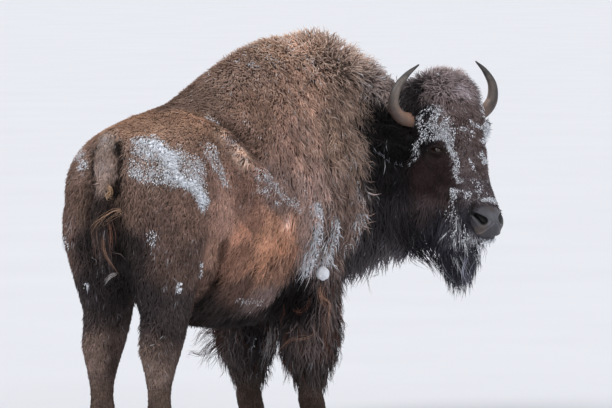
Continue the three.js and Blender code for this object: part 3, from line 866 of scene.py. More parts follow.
class Underside:
    """The lowest height of the solids over each small square of ground."""

    def __init__(self, points: Array, size: float = 0.02) -> None:
        """Keeps the least height in each square, and lends it to empty neighbours.

        Args:
            points: Points all over the solids.
            size: The squares' side.
        """
        self.size, self.corner = size, points[:, :2].min(0) - 6 * size
        cells = ((points[:, :2] - self.corner) / size).astype(int)
        self.low = np.full(cells.max(0) + 7, np.inf)
        np.minimum.at(self.low, (cells[:, 0], cells[:, 1]), points[:, 2])
        for _ in range(4):
            near = [np.roll(self.low, step, axis) for step in (1, -1) for axis in (0, 1)]
            self.low = np.where(np.isinf(self.low), np.minimum.reduce(near), self.low)
        self.low[np.isinf(self.low)] = 0

    def at(self, points: Array) -> Array:
        """How low hair may hang at each point.

        Args:
            points: Places in the frame.

        Returns:
            The lowest height under or over each point.
        """
        cells = ((points[:, :2] - self.corner) / self.size).astype(int)
        cells = np.clip(cells, 0, np.array(self.low.shape) - 1)
        return self.low[cells[:, 0], cells[:, 1]]


def naked(points: Array) -> Array:
    """How far the skin is bare: 1 on the muzzle's pad, falling to 0 past its edge."""
    local = (STANCE.in_half_head(points) - NAKED_MIDDLE) / NAKED_REACH
    return 1 - ramp(np.linalg.norm(local, axis=1) + 0.05 * cloud(points, 0.012, 41), 0.82, 1.05)


# ---------------------------------------------------------------- markings


@dataclass(frozen=True)
class Mark:
    """The coat's colour round one place, and how frosted its tips are.

    A place on the left has a mirror on the right; one on the right stands alone.
    """

    home: Home
    at: Triple
    reach: float
    colour: Triple
    frost: float = 0.0


@dataclass(frozen=True)
class Stroke:
    """A stroke over the coat: frost in its tips or less of it, a shade on its colour, a rise of the skin."""

    home: Home
    route: tuple[Triple, ...]
    width: float
    frost: float = 0.0
    # times the colour: above 1 for painted highlights and paler frosted bands, below 1 for painted shade and
    # darker marks
    shade: float = 1.0
    rise: float = 0.0
    both: bool = False  # on both sides of the animal

    def nearness(self, points: Array, outward: Array) -> Array:
        """How near points of the skin are to the stroke.

        Args:
            points: The points.
            outward: The skin's direction at each.

        Returns:
            E to the minus squared distance in widths from the nearest of the stroke's lines.
        """
        far = []
        for flip in flips(self.both):
            places = [STANCE.place(self.home, at * flip) for at in self.route]
            ends = zip(places, places[1:] or places)
            far += [line_distance(points, start, end, outward) for start, end in ends]
        return bell(np.minimum.reduce(far), 0, self.width)


def pair(*given: object) -> Stroke:
    """A stroke on both sides of the animal."""
    return Stroke(*given, both=True)


MARKS = [
    Mark(home, *row)
    for home, rows in [
        (S, [
            ((0.20, 0, 1.28), 0.11, (130, 104, 88), 0.08),
            ((0.09, 0.13, 1.18), 0.06, (114, 94, 84), 0.08),
            ((0.10, 0.22, 1.08), 0.08, (104, 85, 75), 0.10),
            ((0.01, 0.12, 0.97), 0.07, (94, 75, 66)),
            ((0.06, 0.24, 0.90), 0.09, (88, 70, 63), 0.05),
            ((0.20, 0.30, 0.94), 0.12, (106, 84, 74), 0.05),
            ((0.03, 0.10, 0.80), 0.07, (40, 33, 32)),
            ((0.03, -0.205, 0.88), 0.045, (52, 42, 40)),
            ((0.20, 0.27, 0.76), 0.11, (84, 67, 60), 0.12),
            ((0.18, 0.23, 0.56), 0.10, (54, 46, 45), 0.05),
            ((0.12, 0.03, 0.66), 0.09, (34, 29, 29)),
            ((0.10, 0.12, 0.60), 0.07, (42, 36, 37), 0.04),
            # painted light: this row and the next give the sun's warm glow on the mid flank, strongest on the
            # right side
            ((0.41, 0.29, 0.91), 0.08, (134, 106, 94), 0.05),
            ((0.41, -0.29, 0.91), 0.07, (174, 142, 130), 0.05),
            ((0.38, 0.26, 0.80), 0.08, (131, 103, 90), 0.05),
            ((0.40, 0.20, 0.62), 0.08, (94, 73, 64)),
            ((0.44, 0.13, 1.30), 0.06, (120, 94, 78), 0.04),
            ((0.62, 0.20, 1.23), 0.05, (98, 78, 69)),
            ((0.71, 0.22, 1.24), 0.045, (110, 88, 78), 0.10),
            # painted highlight: this row and the next lighten the haunch's edge on the right side
            ((0.61, -0.245, 1.140), 0.032, (142, 121, 108), 0.2),
            ((0.54, -0.19, 1.235), 0.030, (128, 106, 92), 0.12),
            ((0.60, 0, 1.37), 0.12, (90, 73, 64), 0.07),
            ((0.59, 0.29, 0.99), 0.07, (114, 88, 77), 0.1),
            # painted light: this row and the next seven give the sun's warm glow on the flank, strongest in
            # the rows on the right side
            ((0.76, 0.28, 0.82), 0.10, (136, 103, 86)),
            ((0.76, -0.28, 0.81), 0.100, (181, 136, 109)),
            ((0.85, -0.29, 0.75), 0.064, (180, 133, 107)),
            ((0.82, -0.31, 0.86), 0.050, (186, 150, 133), 0.2),
            ((0.645, -0.29, 0.885), 0.060, (128, 96, 82)),
            ((0.58, -0.28, 0.82), 0.070, (176, 133, 112)),
            ((0.66, 0.27, 0.74), 0.08, (136, 102, 84)),
            ((0.59, 0.26, 0.76), 0.09, (121, 90, 76)),
            ((0.86, 0.28, 0.72), 0.08, (118, 90, 76)),
            ((0.66, 0.21, 0.62), 0.07, (92, 71, 63)),
            ((0.86, 0.20, 0.56), 0.08, (112, 95, 91), 0.18),
            ((0.85, 0, 0.44), 0.13, (42, 37, 37)),
            ((0.55, 0.08, 0.52), 0.09, (46, 39, 38)),
            ((0.80, 0.31, 1.00), 0.09, (110, 90, 83), 0.15),
            ((0.80, 0.20, 1.29), 0.10, (112, 89, 77), 0.1),
            ((0.92, 0.27, 1.20), 0.09, (126, 101, 90), 0.1),
            ((0.85, 0, 1.46), 0.12, (120, 99, 88), 0.22),
            ((1.10, 0, 1.57), 0.10, (136, 115, 101), 0.25),
            ((1.32, 0, 1.58), 0.10, (154, 132, 118), 0.25),
            ((1.10, 0.20, 1.38), 0.10, (138, 112, 98), 0.18),
            ((1.03, 0.27, 1.18), 0.10, (147, 121, 109), 0.15),
            ((1.05, 0.32, 0.98), 0.11, (146, 123, 115), 0.2),
            ((1.28, 0.28, 1.20), 0.10, (130, 108, 95), 0.14),
            ((1.30, 0.31, 0.98), 0.11, (116, 96, 88), 0.15),
            ((1.12, 0.29, 0.78), 0.08, (112, 94, 88), 0.2),
            ((1.11, -0.28, 0.75), 0.05, (160, 150, 152), 0.5),
            ((1.34, 0.28, 0.78), 0.08, (92, 76, 70), 0.15),
            ((1.49, 0.25, 1.13), 0.08, (120, 101, 90), 0.2),
            ((1.48, 0.24, 0.92), 0.08, (106, 88, 80), 0.2),
            ((1.52, 0.06, 1.52), 0.08, (142, 124, 114), 0.2),
            ((1.50, 0.19, 1.33), 0.07, (116, 97, 86), 0.12),
            ((1.70, 0.08, 1.40), 0.065, (128, 114, 109), 0.25),
            ((1.61, 0.18, 1.26), 0.035, (64, 54, 51)),
            ((1.62, 0.21, 1.00), 0.035, (60, 52, 50), 0.1),
            ((1.70, 0.19, 1.26), 0.08, (7, 6, 6)),
            ((1.77, 0.18, 1.13), 0.05, (6, 5, 6)),
            ((1.84, 0.14, 0.86), 0.06, (20, 18, 20), 0.03),
            ((1.72, 0.18, 1.08), 0.09, (15, 13, 14), 0.06),
            ((1.70, 0.17, 0.90), 0.08, (36, 33, 36), 0.05),
            ((1.64, 0.13, 0.77), 0.07, (56, 52, 54), 0.08),
            ((1.74, 0.04, 0.70), 0.10, (92, 87, 90), 0.12),
            ((1.82, -0.06, 0.735), 0.05, (108, 103, 107), 0.2),
            ((1.58, -0.23, 0.97), 0.035, (124, 111, 108), 0.25),
            ((1.665, -0.15, 1.32), 0.035, (16, 14, 14)),
            ((1.36, 0, 0.52), 0.12, (40, 35, 35)),
            ((1.08, 0.22, 0.58), 0.07, (20, 17, 18)),
            ((1.30, 0.28, 0.58), 0.09, (72, 62, 60), 0.12),
            ((1.14, 0.25, 0.44), 0.08, (74, 63, 61), 0.08),
            ((1.24, 0.05, 0.45), 0.10, (42, 38, 39)),
            ((1.24, 0.16, 0.32), 0.08, (56, 49, 48), 0.05),
            ((1.24, 0.16, 0.14), 0.09, (66, 54, 48)),
            ((0.16, 0.15, 0.38), 0.08, (104, 87, 79), 0.12),
            ((0.24, 0.15, 0.36), 0.07, (70, 58, 54)),
            ((0.20, 0.15, 0.14), 0.10, (78, 64, 57)),
            ((0.05, 0, 1.20), 0.034, (132, 117, 110), 0.16),
            ((0.00, 0, 1.12), 0.034, (136, 119, 112), 0.15),
            ((0.00, 0, 1.05), 0.028, (128, 110, 101), 0.1),
            ((0.00, 0, 0.95), 0.045, (44, 36, 34)),
            ((0.01, 0, 0.84), 0.055, (50, 42, 41)),
            ((0.02, 0, 0.74), 0.060, (48, 42, 42), 0.05),
        ]),
        (H, [
            ((-0.12, 0, 0.05), 0.08, (134, 122, 121), 0.25),
            ((-0.02, 0.05, 0.09), 0.07, (114, 102, 102), 0.18),
            ((0.02, 0.02, 0.105), 0.055, (150, 138, 142), 0.22),
            ((-0.03, 0.14, -0.02), 0.05, (40, 36, 38), 0.1),
            ((0.01, 0.11, 0.05), 0.05, (92, 81, 80), 0.15),
            ((0.045, 0.135, 0.005), 0.032, (26, 23, 25), 0.1),
            ((0.09, 0.03, 0.09), 0.07, (94, 80, 78), 0.15),
            ((0.17, 0.02, 0.06), 0.06, (86, 72, 70), 0.25),
            ((0.19, 0.10, 0.02), 0.035, (60, 50, 50), 0.5),
            ((0.235, 0.125, -0.04), 0.030, (42, 31, 29)),
            ((0.30, 0, 0.03), 0.07, (82, 70, 69), 0.20),
            ((0.43, 0.02, 0), 0.06, (77, 68, 70), 0.20),
            ((0.29, 0.135, -0.12), 0.08, (37, 26, 26)),
            ((0.37, 0.10, -0.12), 0.05, (58, 47, 46), 0.06),
            ((0.34, 0.12, -0.19), 0.035, (66, 55, 55)),
            ((0.13, 0.165, -0.16), 0.08, (11, 9, 10)),
            ((0.10, 0.16, -0.06), 0.05, (20, 17, 18), 0.1),
            ((0.33, 0.10, -0.24), 0.07, (52, 45, 46), 0.1),
            ((0.45, 0.075, -0.15), 0.05, (60, 55, 58), 0.3),
            ((0.57, 0.03, -0.12), 0.05, (90, 87, 93), 0.5),
            ((0.05, 0.08, -0.27), 0.08, (42, 38, 40), 0.1),
            ((0.55, 0, -0.01), 0.04, (68, 67, 73)),
            ((0.59, 0.07, -0.05), 0.022, (80, 71, 67)),
            ((0.52, 0, 0.0), 0.022, (62, 52, 52)),
            ((0.10, 0.25, -0.13), 0.05, (24, 21, 22), 0.15),
        ]),
        (B, [
            ((0.07, 0.03, 0.77), 0.12, (42, 42, 48), 0.14),
        ]),
        (H, [
            ((0.67, 0.042, -0.20), 0.045, (106, 106, 116), 0.2),
        ]),
    ]
    for row in rows
]
STROKES = [
    # snow on the rump and the thighs
    Stroke(S, ((0.150, -0.160, 1.195), (0.175, -0.205, 1.160), (0.165, -0.230, 1.120)), 0.044, 1.0),
    Stroke(S, ((0.165, -0.252, 1.078), (0.232, -0.277, 1.048), (0.285, -0.294, 0.988)), 0.030, 1.0),
    Stroke(S, ((0.090, -0.080, 1.210), (0.080, -0.130, 1.172), (0.070, -0.180, 1.100)), 0.036, 0.24),
    Stroke(S, ((0.052, -0.148, 1.116), (0.093, -0.212, 1.090), (0.16, -0.25, 1.085)), 0.044, 0.74),
    Stroke(S, ((0.120, -0.140, 1.190), (0.120, -0.190, 1.140), (0.250, -0.240, 1.140)), 0.062, 0.78),
    Stroke(S, ((0.220, -0.220, 1.160), (0.295, -0.259, 1.129), (0.270, -0.285, 1.060)), 0.050, 0.66),
    Stroke(S, ((0.400, -0.250, 1.150), (0.417, -0.279, 1.078)), 0.060, 0.46),
    Stroke(S, ((0.073, 0.063, 1.206), (0.060, 0.0, 1.215)), 0.024, 0.22),
    Stroke(S, ((0.071, 0.132, 1.166), (0.032, 0.095, 1.130)), 0.028, 0.6),
    Stroke(S, ((0.14, 0.19, 1.15), (0.26, 0.25, 1.09)), 0.075, 0.50),
    pair(S, ((0.030, 0.209, 0.860), (0.069, 0.240, 0.790)), 0.060, 0.30),
    Stroke(S, ((0.149, -0.252, 0.672), (0.152, -0.254, 0.660)), 0.013, 1.0),
    Stroke(S, ((0.098, 0.138, 0.664),), 0.009, 1.0),
    Stroke(S, ((0.287, -0.274, 0.740), (0.300, -0.270, 0.710)), 0.016, 0.7),
    Stroke(S, ((0.040, -0.040, 0.690), (0.045, -0.010, 0.680)), 0.014, 0.8),
    # then strokes that lighten the left of the rump and darken the right hind leg and the insides of both
    # hind legs
    Stroke(S, ((0.04, 0.15, 1.03), (0.05, 0.18, 0.90)), 0.050, 0, 1.15),
    Stroke(S, ((0.150, -0.20, 0.45), (0.185, -0.21, 0.38)), 0.055, 0, 0.62),
    pair(S, ((0.190, 0.08, 0.42), (0.200, 0.075, 0.33)), 0.034, 0, 0.50),
    # the tail stands clear between gaps, sunk and darkened with painted shadow
    Stroke(S, ((0.062, -0.053, 1.201), (0.024, -0.068, 1.134), (0.008, -0.066, 1.035)), 0.012, 0, 0.08,
        -0.012),
    Stroke(S, ((0.043, 0.058, 1.190), (0.025, 0.055, 1.120), (0.012, 0.048, 1.050)), 0.011, 0, 0.22, -0.012),
    pair(S, ((0.01, 0.055, 1.02), (0.02, 0.06, 0.88), (0.04, 0.055, 0.74)), 0.026, 0, 0.40, -0.008),
    # the edge of the haunch, raised and lightened as a painted highlight; the hollow before it and the fold
    # before the thigh, sunk and darkened as painted shade; frost along them
    pair(S, ((0.430, 0.140, 1.282), (0.504, 0.174, 1.255), (0.561, 0.197, 1.215)), 0.018, 0.16, 1.26, 0.012),
    pair(S, ((0.561, 0.197, 1.215), (0.597, 0.229, 1.167), (0.622, 0.259, 1.117), (0.691, 0.283, 1.068)),
        0.024, 0.24, 1.18, 0.014),
    Stroke(S, ((0.545, -0.194, 1.225), (0.597, -0.229, 1.167), (0.622, -0.259, 1.117),
        (0.680, -0.281, 1.074)), 0.011, 0.46, 1.35, 0.003),
    pair(S, ((0.691, 0.283, 1.068), (0.809, 0.313, 0.994), (0.910, 0.317, 0.938)), 0.020, 0.48, 1.35, 0.010),
    pair(S, ((0.520, 0.150, 1.290), (0.560, 0.155, 1.285)), 0.014, 0.55),
    pair(S, ((0.72, 0.206, 1.270), (0.75, 0.246, 1.200)), 0.011, 0.35, 1.3),
    pair(S, ((0.59, 0.170, 1.260), (0.655, 0.215, 1.205), (0.70, 0.262, 1.13)), 0.022, 0, 0.76, -0.016),
    pair(S, ((0.64, 0.29, 1.04), (0.80, 0.31, 0.98)), 0.040, 0.32),
    pair(S, ((0.46, 0.27, 0.80), (0.51, 0.20, 0.64)), 0.024, 0, 0.42, -0.022),
    pair(S, ((0.51, 0.20, 0.64), (0.50, 0.12, 0.54)), 0.030, 0, 0.40, -0.020),
    pair(S, ((0.66, 0.20, 0.575), (0.84, 0.20, 0.555)), 0.009, 0.62),
    Stroke(S, ((0.82, -0.31, 0.885),), 0.012, 0.9),
    # folds down the shoulder, frosted lower down, and its front edge; the folds' ridges are raised and
    # lightened as painted highlights, the grooves between them sunk and darkened as painted shade
    pair(S, ((0.901, 0.215, 1.314), (0.906, 0.258, 1.224), (0.968, 0.303, 1.085), (1.024, 0.313, 1.024)),
        0.014, 0.15, 1.32, 0.006),
    pair(S, ((1.269, 0.201, 1.404), (1.307, 0.234, 1.333), (1.346, 0.286, 1.155), (1.448, 0.274, 0.994)),
        0.015, 0.12, 1.30, 0.008),
    pair(S, ((1.10, 0.25, 1.29), (1.106, 0.294, 1.16), (1.08, 0.315, 1.04)), 0.014, 0.25, 1.25, 0.008),
    Stroke(S, ((1.06, -0.315, 0.96), (1.088, -0.305, 0.843), (1.085, -0.260, 0.700)), 0.026, 1.0, 1.4, 0.012),
    Stroke(S, ((1.06, 0.315, 0.92), (1.085, 0.260, 0.76)), 0.050, 0.42, 1.2, 0.010),
    Stroke(S, ((1.286, -0.309, 0.890), (1.295, -0.286, 0.797), (1.171, -0.280, 0.715)), 0.022, 1.0, 1.4,
        0.010),
    Stroke(S, ((1.28, 0.30, 0.86), (1.32, 0.28, 0.74)), 0.060, 0.36, 1.2, 0.008),
    pair(S, ((1.463, 0.256, 1.152), (1.530, 0.245, 1.060)), 0.013, 0.45, 1.3, 0.006),
    pair(S, ((1.545, 0.238, 1.060), (1.575, 0.228, 0.970), (1.570, 0.212, 0.860), (1.469, 0.228, 0.775)),
        0.020, 0.58, 1.5, 0.008),
    pair(S, ((1.17, 0.29, 1.24), (1.17, 0.315, 0.98), (1.19, 0.30, 0.78)), 0.018, 0, 0.62, -0.010),
    pair(S, ((1.33, 0.21, 1.39), (1.38, 0.27, 1.19), (1.38, 0.29, 0.88)), 0.016, 0, 0.62, -0.010),
    pair(S, ((1.24, 0.225, 1.36), (1.25, 0.29, 1.15)), 0.014, 0, 0.78, -0.006),
    pair(S, ((1.02, 0.25, 1.28), (1.02, 0.30, 1.12)), 0.014, 0, 0.78, -0.006),
    Stroke(S, ((1.18, 0.05, 0.40), (1.12, 0.06, 0.28)), 0.020, 0.6),
    # frost on the face
    Stroke(H, ((0.047, -0.143, 0.025), (0.091, -0.158, -0.011), (0.136, -0.154, -0.029),
        (0.172, -0.164, -0.096)), 0.016, 0.66),
    Stroke(H, ((0.120, 0.150, -0.010), (0.172, 0.164, -0.096)), 0.016, 0.5),
    Stroke(H, ((0.071, -0.121, 0.051), (0.120, -0.130, 0.020), (0.169, -0.126, 0.013)), 0.024, 0.68),
    Stroke(H, ((0.10, 0.125, 0.035), (0.16, 0.128, 0.015)), 0.030, 0.46),
    Stroke(H, ((0.162, -0.145, -0.015), (0.187, -0.103, 0.028), (0.221, -0.093, 0.022),
        (0.262, -0.085, 0.014)), 0.014, 0.86),
    Stroke(H, ((0.180, 0.110, 0.025), (0.225, 0.080, 0.025)), 0.026, 0.50),
    Stroke(H, ((0.30, 0.075, 0.010), (0.335, 0.060, 0.018)), 0.020, 0.42),
    Stroke(H, ((0.262, -0.085, 0.014), (0.337, -0.087, -0.015), (0.364, -0.081, -0.018)), 0.018, 0.68),
    Stroke(H, ((0.391, -0.093, -0.068), (0.423, -0.084, -0.043), (0.430, -0.070, -0.025)), 0.026, 0.52),
    Stroke(H, ((0.400, 0.088, -0.050), (0.435, 0.070, -0.025)), 0.018, 0.36),
    pair(H, ((0.172, 0.164, -0.096), (0.211, 0.163, -0.107)), 0.015, 0.6),
    Stroke(H, ((0.474, -0.030, 0.0), (0.470, 0.045, 0.0)), 0.012, 0.88),
    pair(H, ((0.448, 0.080, -0.112), (0.485, 0.074, -0.122), (0.510, 0.074, -0.155)), 0.018, 0.62),
    pair(H, ((0.504, 0.073, -0.165), (0.556, 0.066, -0.150), (0.592, 0.056, -0.140), (0.598, 0.041, -0.109)),
        0.017, 0.84),
    pair(H, ((0.598, 0.041, -0.109), (0.622, 0.0, -0.080)), 0.013, 0.85),
    pair(H, ((0.30, 0.05, 0.02), (0.42, 0.02, 0.005)), 0.055, 0.30),
    pair(H, ((0.06, 0.11, 0.06), (0.15, 0.09, 0.05), (0.24, 0.08, 0.025)), 0.042, 0.34),
    Stroke(H, ((0.10, -0.140, 0.010), (0.150, -0.139, 0.002)), 0.018, 0.56),
    pair(H, ((0.42, 0.08, -0.09), (0.50, 0.09, -0.15), (0.56, 0.07, -0.18)), 0.030, 0.34),
    pair(H, ((0.129, 0.319, -0.167), (0.166, 0.269, -0.172), (0.21, 0.217, -0.162)), 0.005, 0.14),
    # the dark of the eyes, the nostrils and their surrounds, and painted highlights along the edge of the
    # lip, below each nostril and between the nostrils
    pair(H, ((0.212, 0.134, -0.075), (0.231, 0.127, -0.032), (0.245, 0.110, -0.004)), 0.012, 0, 0.55),
    pair(H, ((0.184, 0.148, -0.050), (0.197, 0.130, -0.010), (0.214, 0.108, 0.010)), 0.017, -0.95, 0.9),
    pair(H, ((0.484, 0.062, -0.018), (0.519, 0.080, -0.045)), 0.016, -0.7, 0.30),
    pair(H, ((0.585, 0.067, -0.070), (0.604, 0.051, -0.039), (0.602, 0.031, -0.023), (0.590, 0.010, -0.014)),
        0.0035, 0, 2.6),
    pair(H, ((0.588, 0.043, -0.021), (0.584, 0.037, -0.017)), 0.008, 0, 2.0),
    pair(H, ((0.545, 0.012, 0.0), (0.575, 0.010, -0.006)), 0.012, 0, 1.5),
]


class Markings:
    """The colours of skin and coat alike."""

    WANDER, WANDER_SIZE = 0.018, 0.06  # how far the marks' edges wander, and over what size
    MOTTLE = [(0.18, 0.09, 7), (0.20, 0.03, 8)]
    FOLDS = [(0.26, 0.034, 33), (0.14, 0.014, 34)]  # long streaks down the shoulder and the neck
    FOLD_STRETCH = (0.2, 0.12)  # of the streaks, across and down
    TONES = [1.0, 1.05, 1.1]  # the mottle's share in red, green and blue

    def __init__(self, marks: list[Mark], strokes: list[Stroke]) -> None:
        """Puts each mark and its mirror in place.

        Args:
            marks: The marks of one side and of the midline.
            strokes: The strokes of frost and shade.
        """
        placed = [(mark, flip) for mark in marks for flip in flips(mark.at[1] > 0)]
        self.places = np.array([STANCE.place(mark.home, mark.at * flip) for mark, flip in placed])
        self.reaches = np.array([mark.reach for mark, _ in placed])
        self.rows = np.array([[*np.log(linear(mark.colour)), mark.frost] for mark, _ in placed])
        self.strokes = strokes

    def at(self, points: Array, outward: Array) -> tuple[Array, Array]:
        """Colour and frost at some points.

        Args:
            points: Places on the skin.
            outward: The skin's direction at each.

        Returns:
            The blend of the marks, mottled by noise of 9 cm and 3 cm, streaked on the fore part and shaded
            by the strokes, and the frost from 0 to 1, broken up by noise of 3 cm.
        """
        wander = np.stack([cloud(points, self.WANDER_SIZE, 50 + k) for k in range(3)], 1)
        moved = points + self.WANDER * wander
        said = blend(moved, self.places, self.reaches, self.rows)
        spine = STANCE.along_spine(points)
        along, out, high = spine.T
        across, down = self.FOLD_STRETCH
        streaks = clouds(np.stack([along + 0.6 * high, across * out, down * high], 1), self.FOLDS)
        fore = ramp(along, 0.80, 0.95) * (1 - ramp(along, 1.5, 1.6)) * ramp(high, 0.62, 0.8)
        mottle = clouds(points, self.MOTTLE) + fore * (1 - ramp(high, 1.42, 1.54)) * streaks
        colour = said[:, :3] + mottle[:, None] * self.TONES
        frost = said[:, 3] * (1 + 0.8 * cloud(points, 0.03, 9))
        patchy = 0.8 + 0.6 * cloud(points, 0.028, 10)
        for stroke in self.strokes:
            near = stroke.nearness(moved, outward)
            colour = colour + np.log(stroke.shade) * near[:, None]
            rimed = stroke.frost * np.minimum(1.2 * near, 1) * np.maximum(patchy, stroke.frost**2)
            frost = np.maximum(frost, rimed) if stroke.frost >= 0 else frost * (1 + rimed / 1.2)
        return np.clip(np.exp(colour), 0, 1), np.clip(frost, 0, 1)


# ---------------------------------------------------------------- finishes


class Graph:
    """The nodes of a material or a world, added by kind and joined as they are added."""

    def __init__(self, owner: bpy.types.Material | bpy.types.World, shader: str) -> None:
        """Starts from the owner's own shader.

        Args:
            owner: The material or the world.
            shader: The name of its shader's node.
        """
        owner.use_nodes = True
        self.owner, self.tree = owner, owner.node_tree
        self.shader = self.tree.nodes[shader]

    @staticmethod
    def finish(name: str) -> Graph:
        """The nodes of a new material with one Principled shader."""
        return Graph(bpy.data.materials.new(name), "Principled BSDF")

    def join(self, value: object, socket: Socket) -> None:
        """Links a node's output into a socket, or writes a plain value there.

        Args:
            value: Another node's output, a number, a triple or a colour.
            socket: The socket that takes it.
        """
        if isinstance(value, Socket):
            self.tree.links.new(value, socket)
        elif socket.type == "RGBA":
            socket.default_value = (*value, 1.0)
        else:
            socket.default_value = tuple(value) if socket.type == "VECTOR" else value

    def give(self, **values: object) -> None:
        """Gives values to the shader's sockets, whose names have spaces for underlines."""
        for name, value in values.items():
            self.join(value, self.shader.inputs[name.replace("_", " ")])

    def node(self, kind: str, inputs: dict[int | str, object], **settings: object) -> bpy.types.Node:
        """Adds a node.

        Args:
            kind: Its kind, without the words shader and node.
            inputs: What each of its sockets is given.
            settings: Its own settings.

        Returns:
            The node.
        """
        made = self.tree.nodes.new(f"ShaderNode{kind}")
        for name, value in settings.items():
            setattr(made, name, value)
        for socket, value in inputs.items():
            self.join(value, made.inputs[socket])
        return made

    def attribute(self, name: str, output: str = "Fac") -> Socket:
        """A mesh attribute's output."""
        return self.node("Attribute", {}, attribute_name=name).outputs[output]

    def place(self, scale: Triple = (1, 1, 1)) -> Socket:
        """The object's own coordinates, stretched by a scale."""
        where = self.node("TexCoord", {}).outputs["Object"]
        return self.node("Mapping", {"Vector": where, "Scale": scale}).outputs["Vector"]

    def noise(self, scale: float, detail: float = 3, stretch: Triple = (1, 1, 1)) -> Socket:
        """Noise in the object's own coordinates."""
        given = {"Scale": scale, "Detail": detail, "Vector": self.place(stretch)}
        return self.node("TexNoise", given).outputs["Fac"]

    def cells(self, scale: float) -> Socket:
        """Distance from the middles of random cells in the object's own coordinates."""
        return self.node("TexVoronoi", {"Scale": scale, "Vector": self.place()}).outputs["Distance"]

    def math(self, kind: str, *values: object) -> Socket:
        """One sum on two or three numbers."""
        return self.node("Math", dict(enumerate(values)), operation=kind).outputs[0]

    def times(self, *values: object) -> Socket:
        """The product of two or more numbers.

        Args:
            values: Numbers or outputs.

        Returns:
            The last product's output.
        """
        made, *others = values
        for value in others:
            made = self.math("MULTIPLY", made, value)
        return made

    def spread(self, value: object, low: float, high: float, to: Span) -> Socket:
        """A number carried from one span to another, and held inside it."""
        spans = {"From Min": low, "From Max": high, "To Min": to[0], "To Max": to[1]}
        return self.node("MapRange", {**spans, "Value": value}).outputs["Result"]

    def grain(
        self, scale: float, detail: float, to: Span, of: Span = (0.3, 0.7), stretch: Triple = (1, 1, 1)
    ) -> Socket:
        """Noise with its middle part carried to a span."""
        return self.spread(self.noise(scale, detail, stretch), *of, to)

    def mix(self, share: object, a: object, b: object, kind: str = "MIX") -> Socket:
        """Two colours blended by a share."""
        return self.node("Mix", {0: share, 6: a, 7: b}, data_type="RGBA", blend_type=kind).outputs[2]

    def shade(self, colour: object, amount: object) -> Socket:
        """A colour times a number."""
        return self.node("VectorMath", {0: colour, "Scale": amount}, operation="SCALE").outputs[0]

    def grey(self, colour: object) -> Socket:
        """A colour's own grey."""
        return self.node("RGBToBW", {0: colour}).outputs[0]

    def bump(self, height: object, distance: float, strength: float) -> None:
        """Relief on the shader from a height from 0 to 1, in metres."""
        given = {"Strength": strength, "Distance": distance, "Height": height}
        self.give(Normal=self.node("Bump", given).outputs["Normal"])


@dataclass(frozen=True)
class HairFinish:
    """Dry winter hair: darker at the root, with fine streaks along it and frost on its tips."""

    root: float = 1.3
    tip: float = 2.72
    snow: Triple = (240, 242, 248)

    def material(self) -> bpy.types.Material:
        """Makes the material, which reads tint, along, chance and frost of each tuft.

        Returns:
            The material.
        """
        g = Graph.finish("hair")
        depth = g.spread(g.attribute("along"), 0.0, 0.8, (self.root, self.tip))
        # chance brings each tuft's own tone and, on the coat, the painted shade between locks
        lot = g.spread(g.attribute("chance"), 0, 1, (0.52, 1.48))
        body = g.shade(g.attribute("tint", "Color"), g.times(depth, lot, g.grain(900, 2, (0.86, 1.14))))
        white = g.shade(linear(self.snow), g.grain(260, 2, (0.85, 1.05)))
        pale = g.spread(g.attribute("along"), 0.2, 1, (0, 0.07))
        colour = g.mix(g.attribute("frost"), g.mix(pale, body, g.grey(body)), white)
        g.give(Base_Color=colour, Roughness=0.72, Specular_IOR_Level=0.12)
        g.give(Sheen_Weight=0.02, Sheen_Roughness=0.45)
        g.bump(g.noise(1400, 2), 0.0004, 0.6)
        return g.owner


@dataclass(frozen=True)
class HideFinish:
    """Skin under the coat, fine-haired, and bare, pebbled and moist on the muzzle."""

    shade: float = 0.85
    bare_shade: float = 1.0
    dry: float = 0.85
    moist: float = 0.30

    def material(self) -> bpy.types.Material:
        """Makes the material, which reads tint and naked of the skin.

        Returns:
            The material.
        """
        g = Graph.finish("hide")
        bare = g.attribute("naked")
        level = g.mix(bare, (self.shade,) * 3, (self.bare_shade,) * 3)
        colour = g.mix(1.0, g.attribute("tint", "Color"), level, "MULTIPLY")
        g.give(Base_Color=g.shade(colour, g.grain(420, 3, (0.75, 1.25))), Specular_IOR_Level=0.4)
        g.give(Roughness=g.spread(bare, 0, 1, (self.dry, self.moist)))
        pebble = g.times(g.spread(g.cells(260), 0, 0.7, (0, 1)), bare)
        g.bump(g.math("ADD", pebble, g.noise(700, 3)), 0.0011, 0.8)
        return g.owner


@dataclass(frozen=True)
class HornFinish:
    """Satin horn: tan and ringed at the base, grey along the curve, nearly black at the tip."""

    base: Triple = (168, 132, 113)
    middle: Triple = (110, 100, 93)
    tip: Triple = (44, 42, 46)
    edge: Triple = (40, 35, 36)

    def material(self) -> bpy.types.Material:
        """Makes the material, which reads along and outer of the horn.

        Returns:
            The material.
        """
        g = Graph.finish("horn")
        along, outer = g.attribute("along"), g.attribute("outer")
        where = g.math("ADD", along, g.grain(38, 4, (-0.12, 0.12), (0.3, 0.75)))
        lower = g.mix(g.spread(where, 0.30, 0.62, (0, 1)), linear(self.base), linear(self.middle))
        whole = g.mix(g.spread(where, 0.70, 0.97, (0, 1)), lower, linear(self.tip))
        # darker towards the outer side, and over the whole left horn as painted shade
        dark = g.times(g.spread(outer, 0.55, 0.95, (0, 0.75)), g.spread(along, 0.15, 0.5, (0.3, 1)))
        edged = g.mix(dark, whole, linear(self.edge))
        fibre = g.grain(420, 4, (0.78, 1.2), (0.25, 0.75), (1, 1, 0.25))
        g.give(Base_Color=g.shade(edged, g.times(fibre, g.grain(90, 3, (0.86, 1.12)))))
        g.give(Roughness=g.grain(150, 3, (0.36, 0.56)), Specular_IOR_Level=0.45)
        g.bump(g.noise(500, 4, (1, 1, 0.3)), 0.0007, 0.7)
        return g.owner


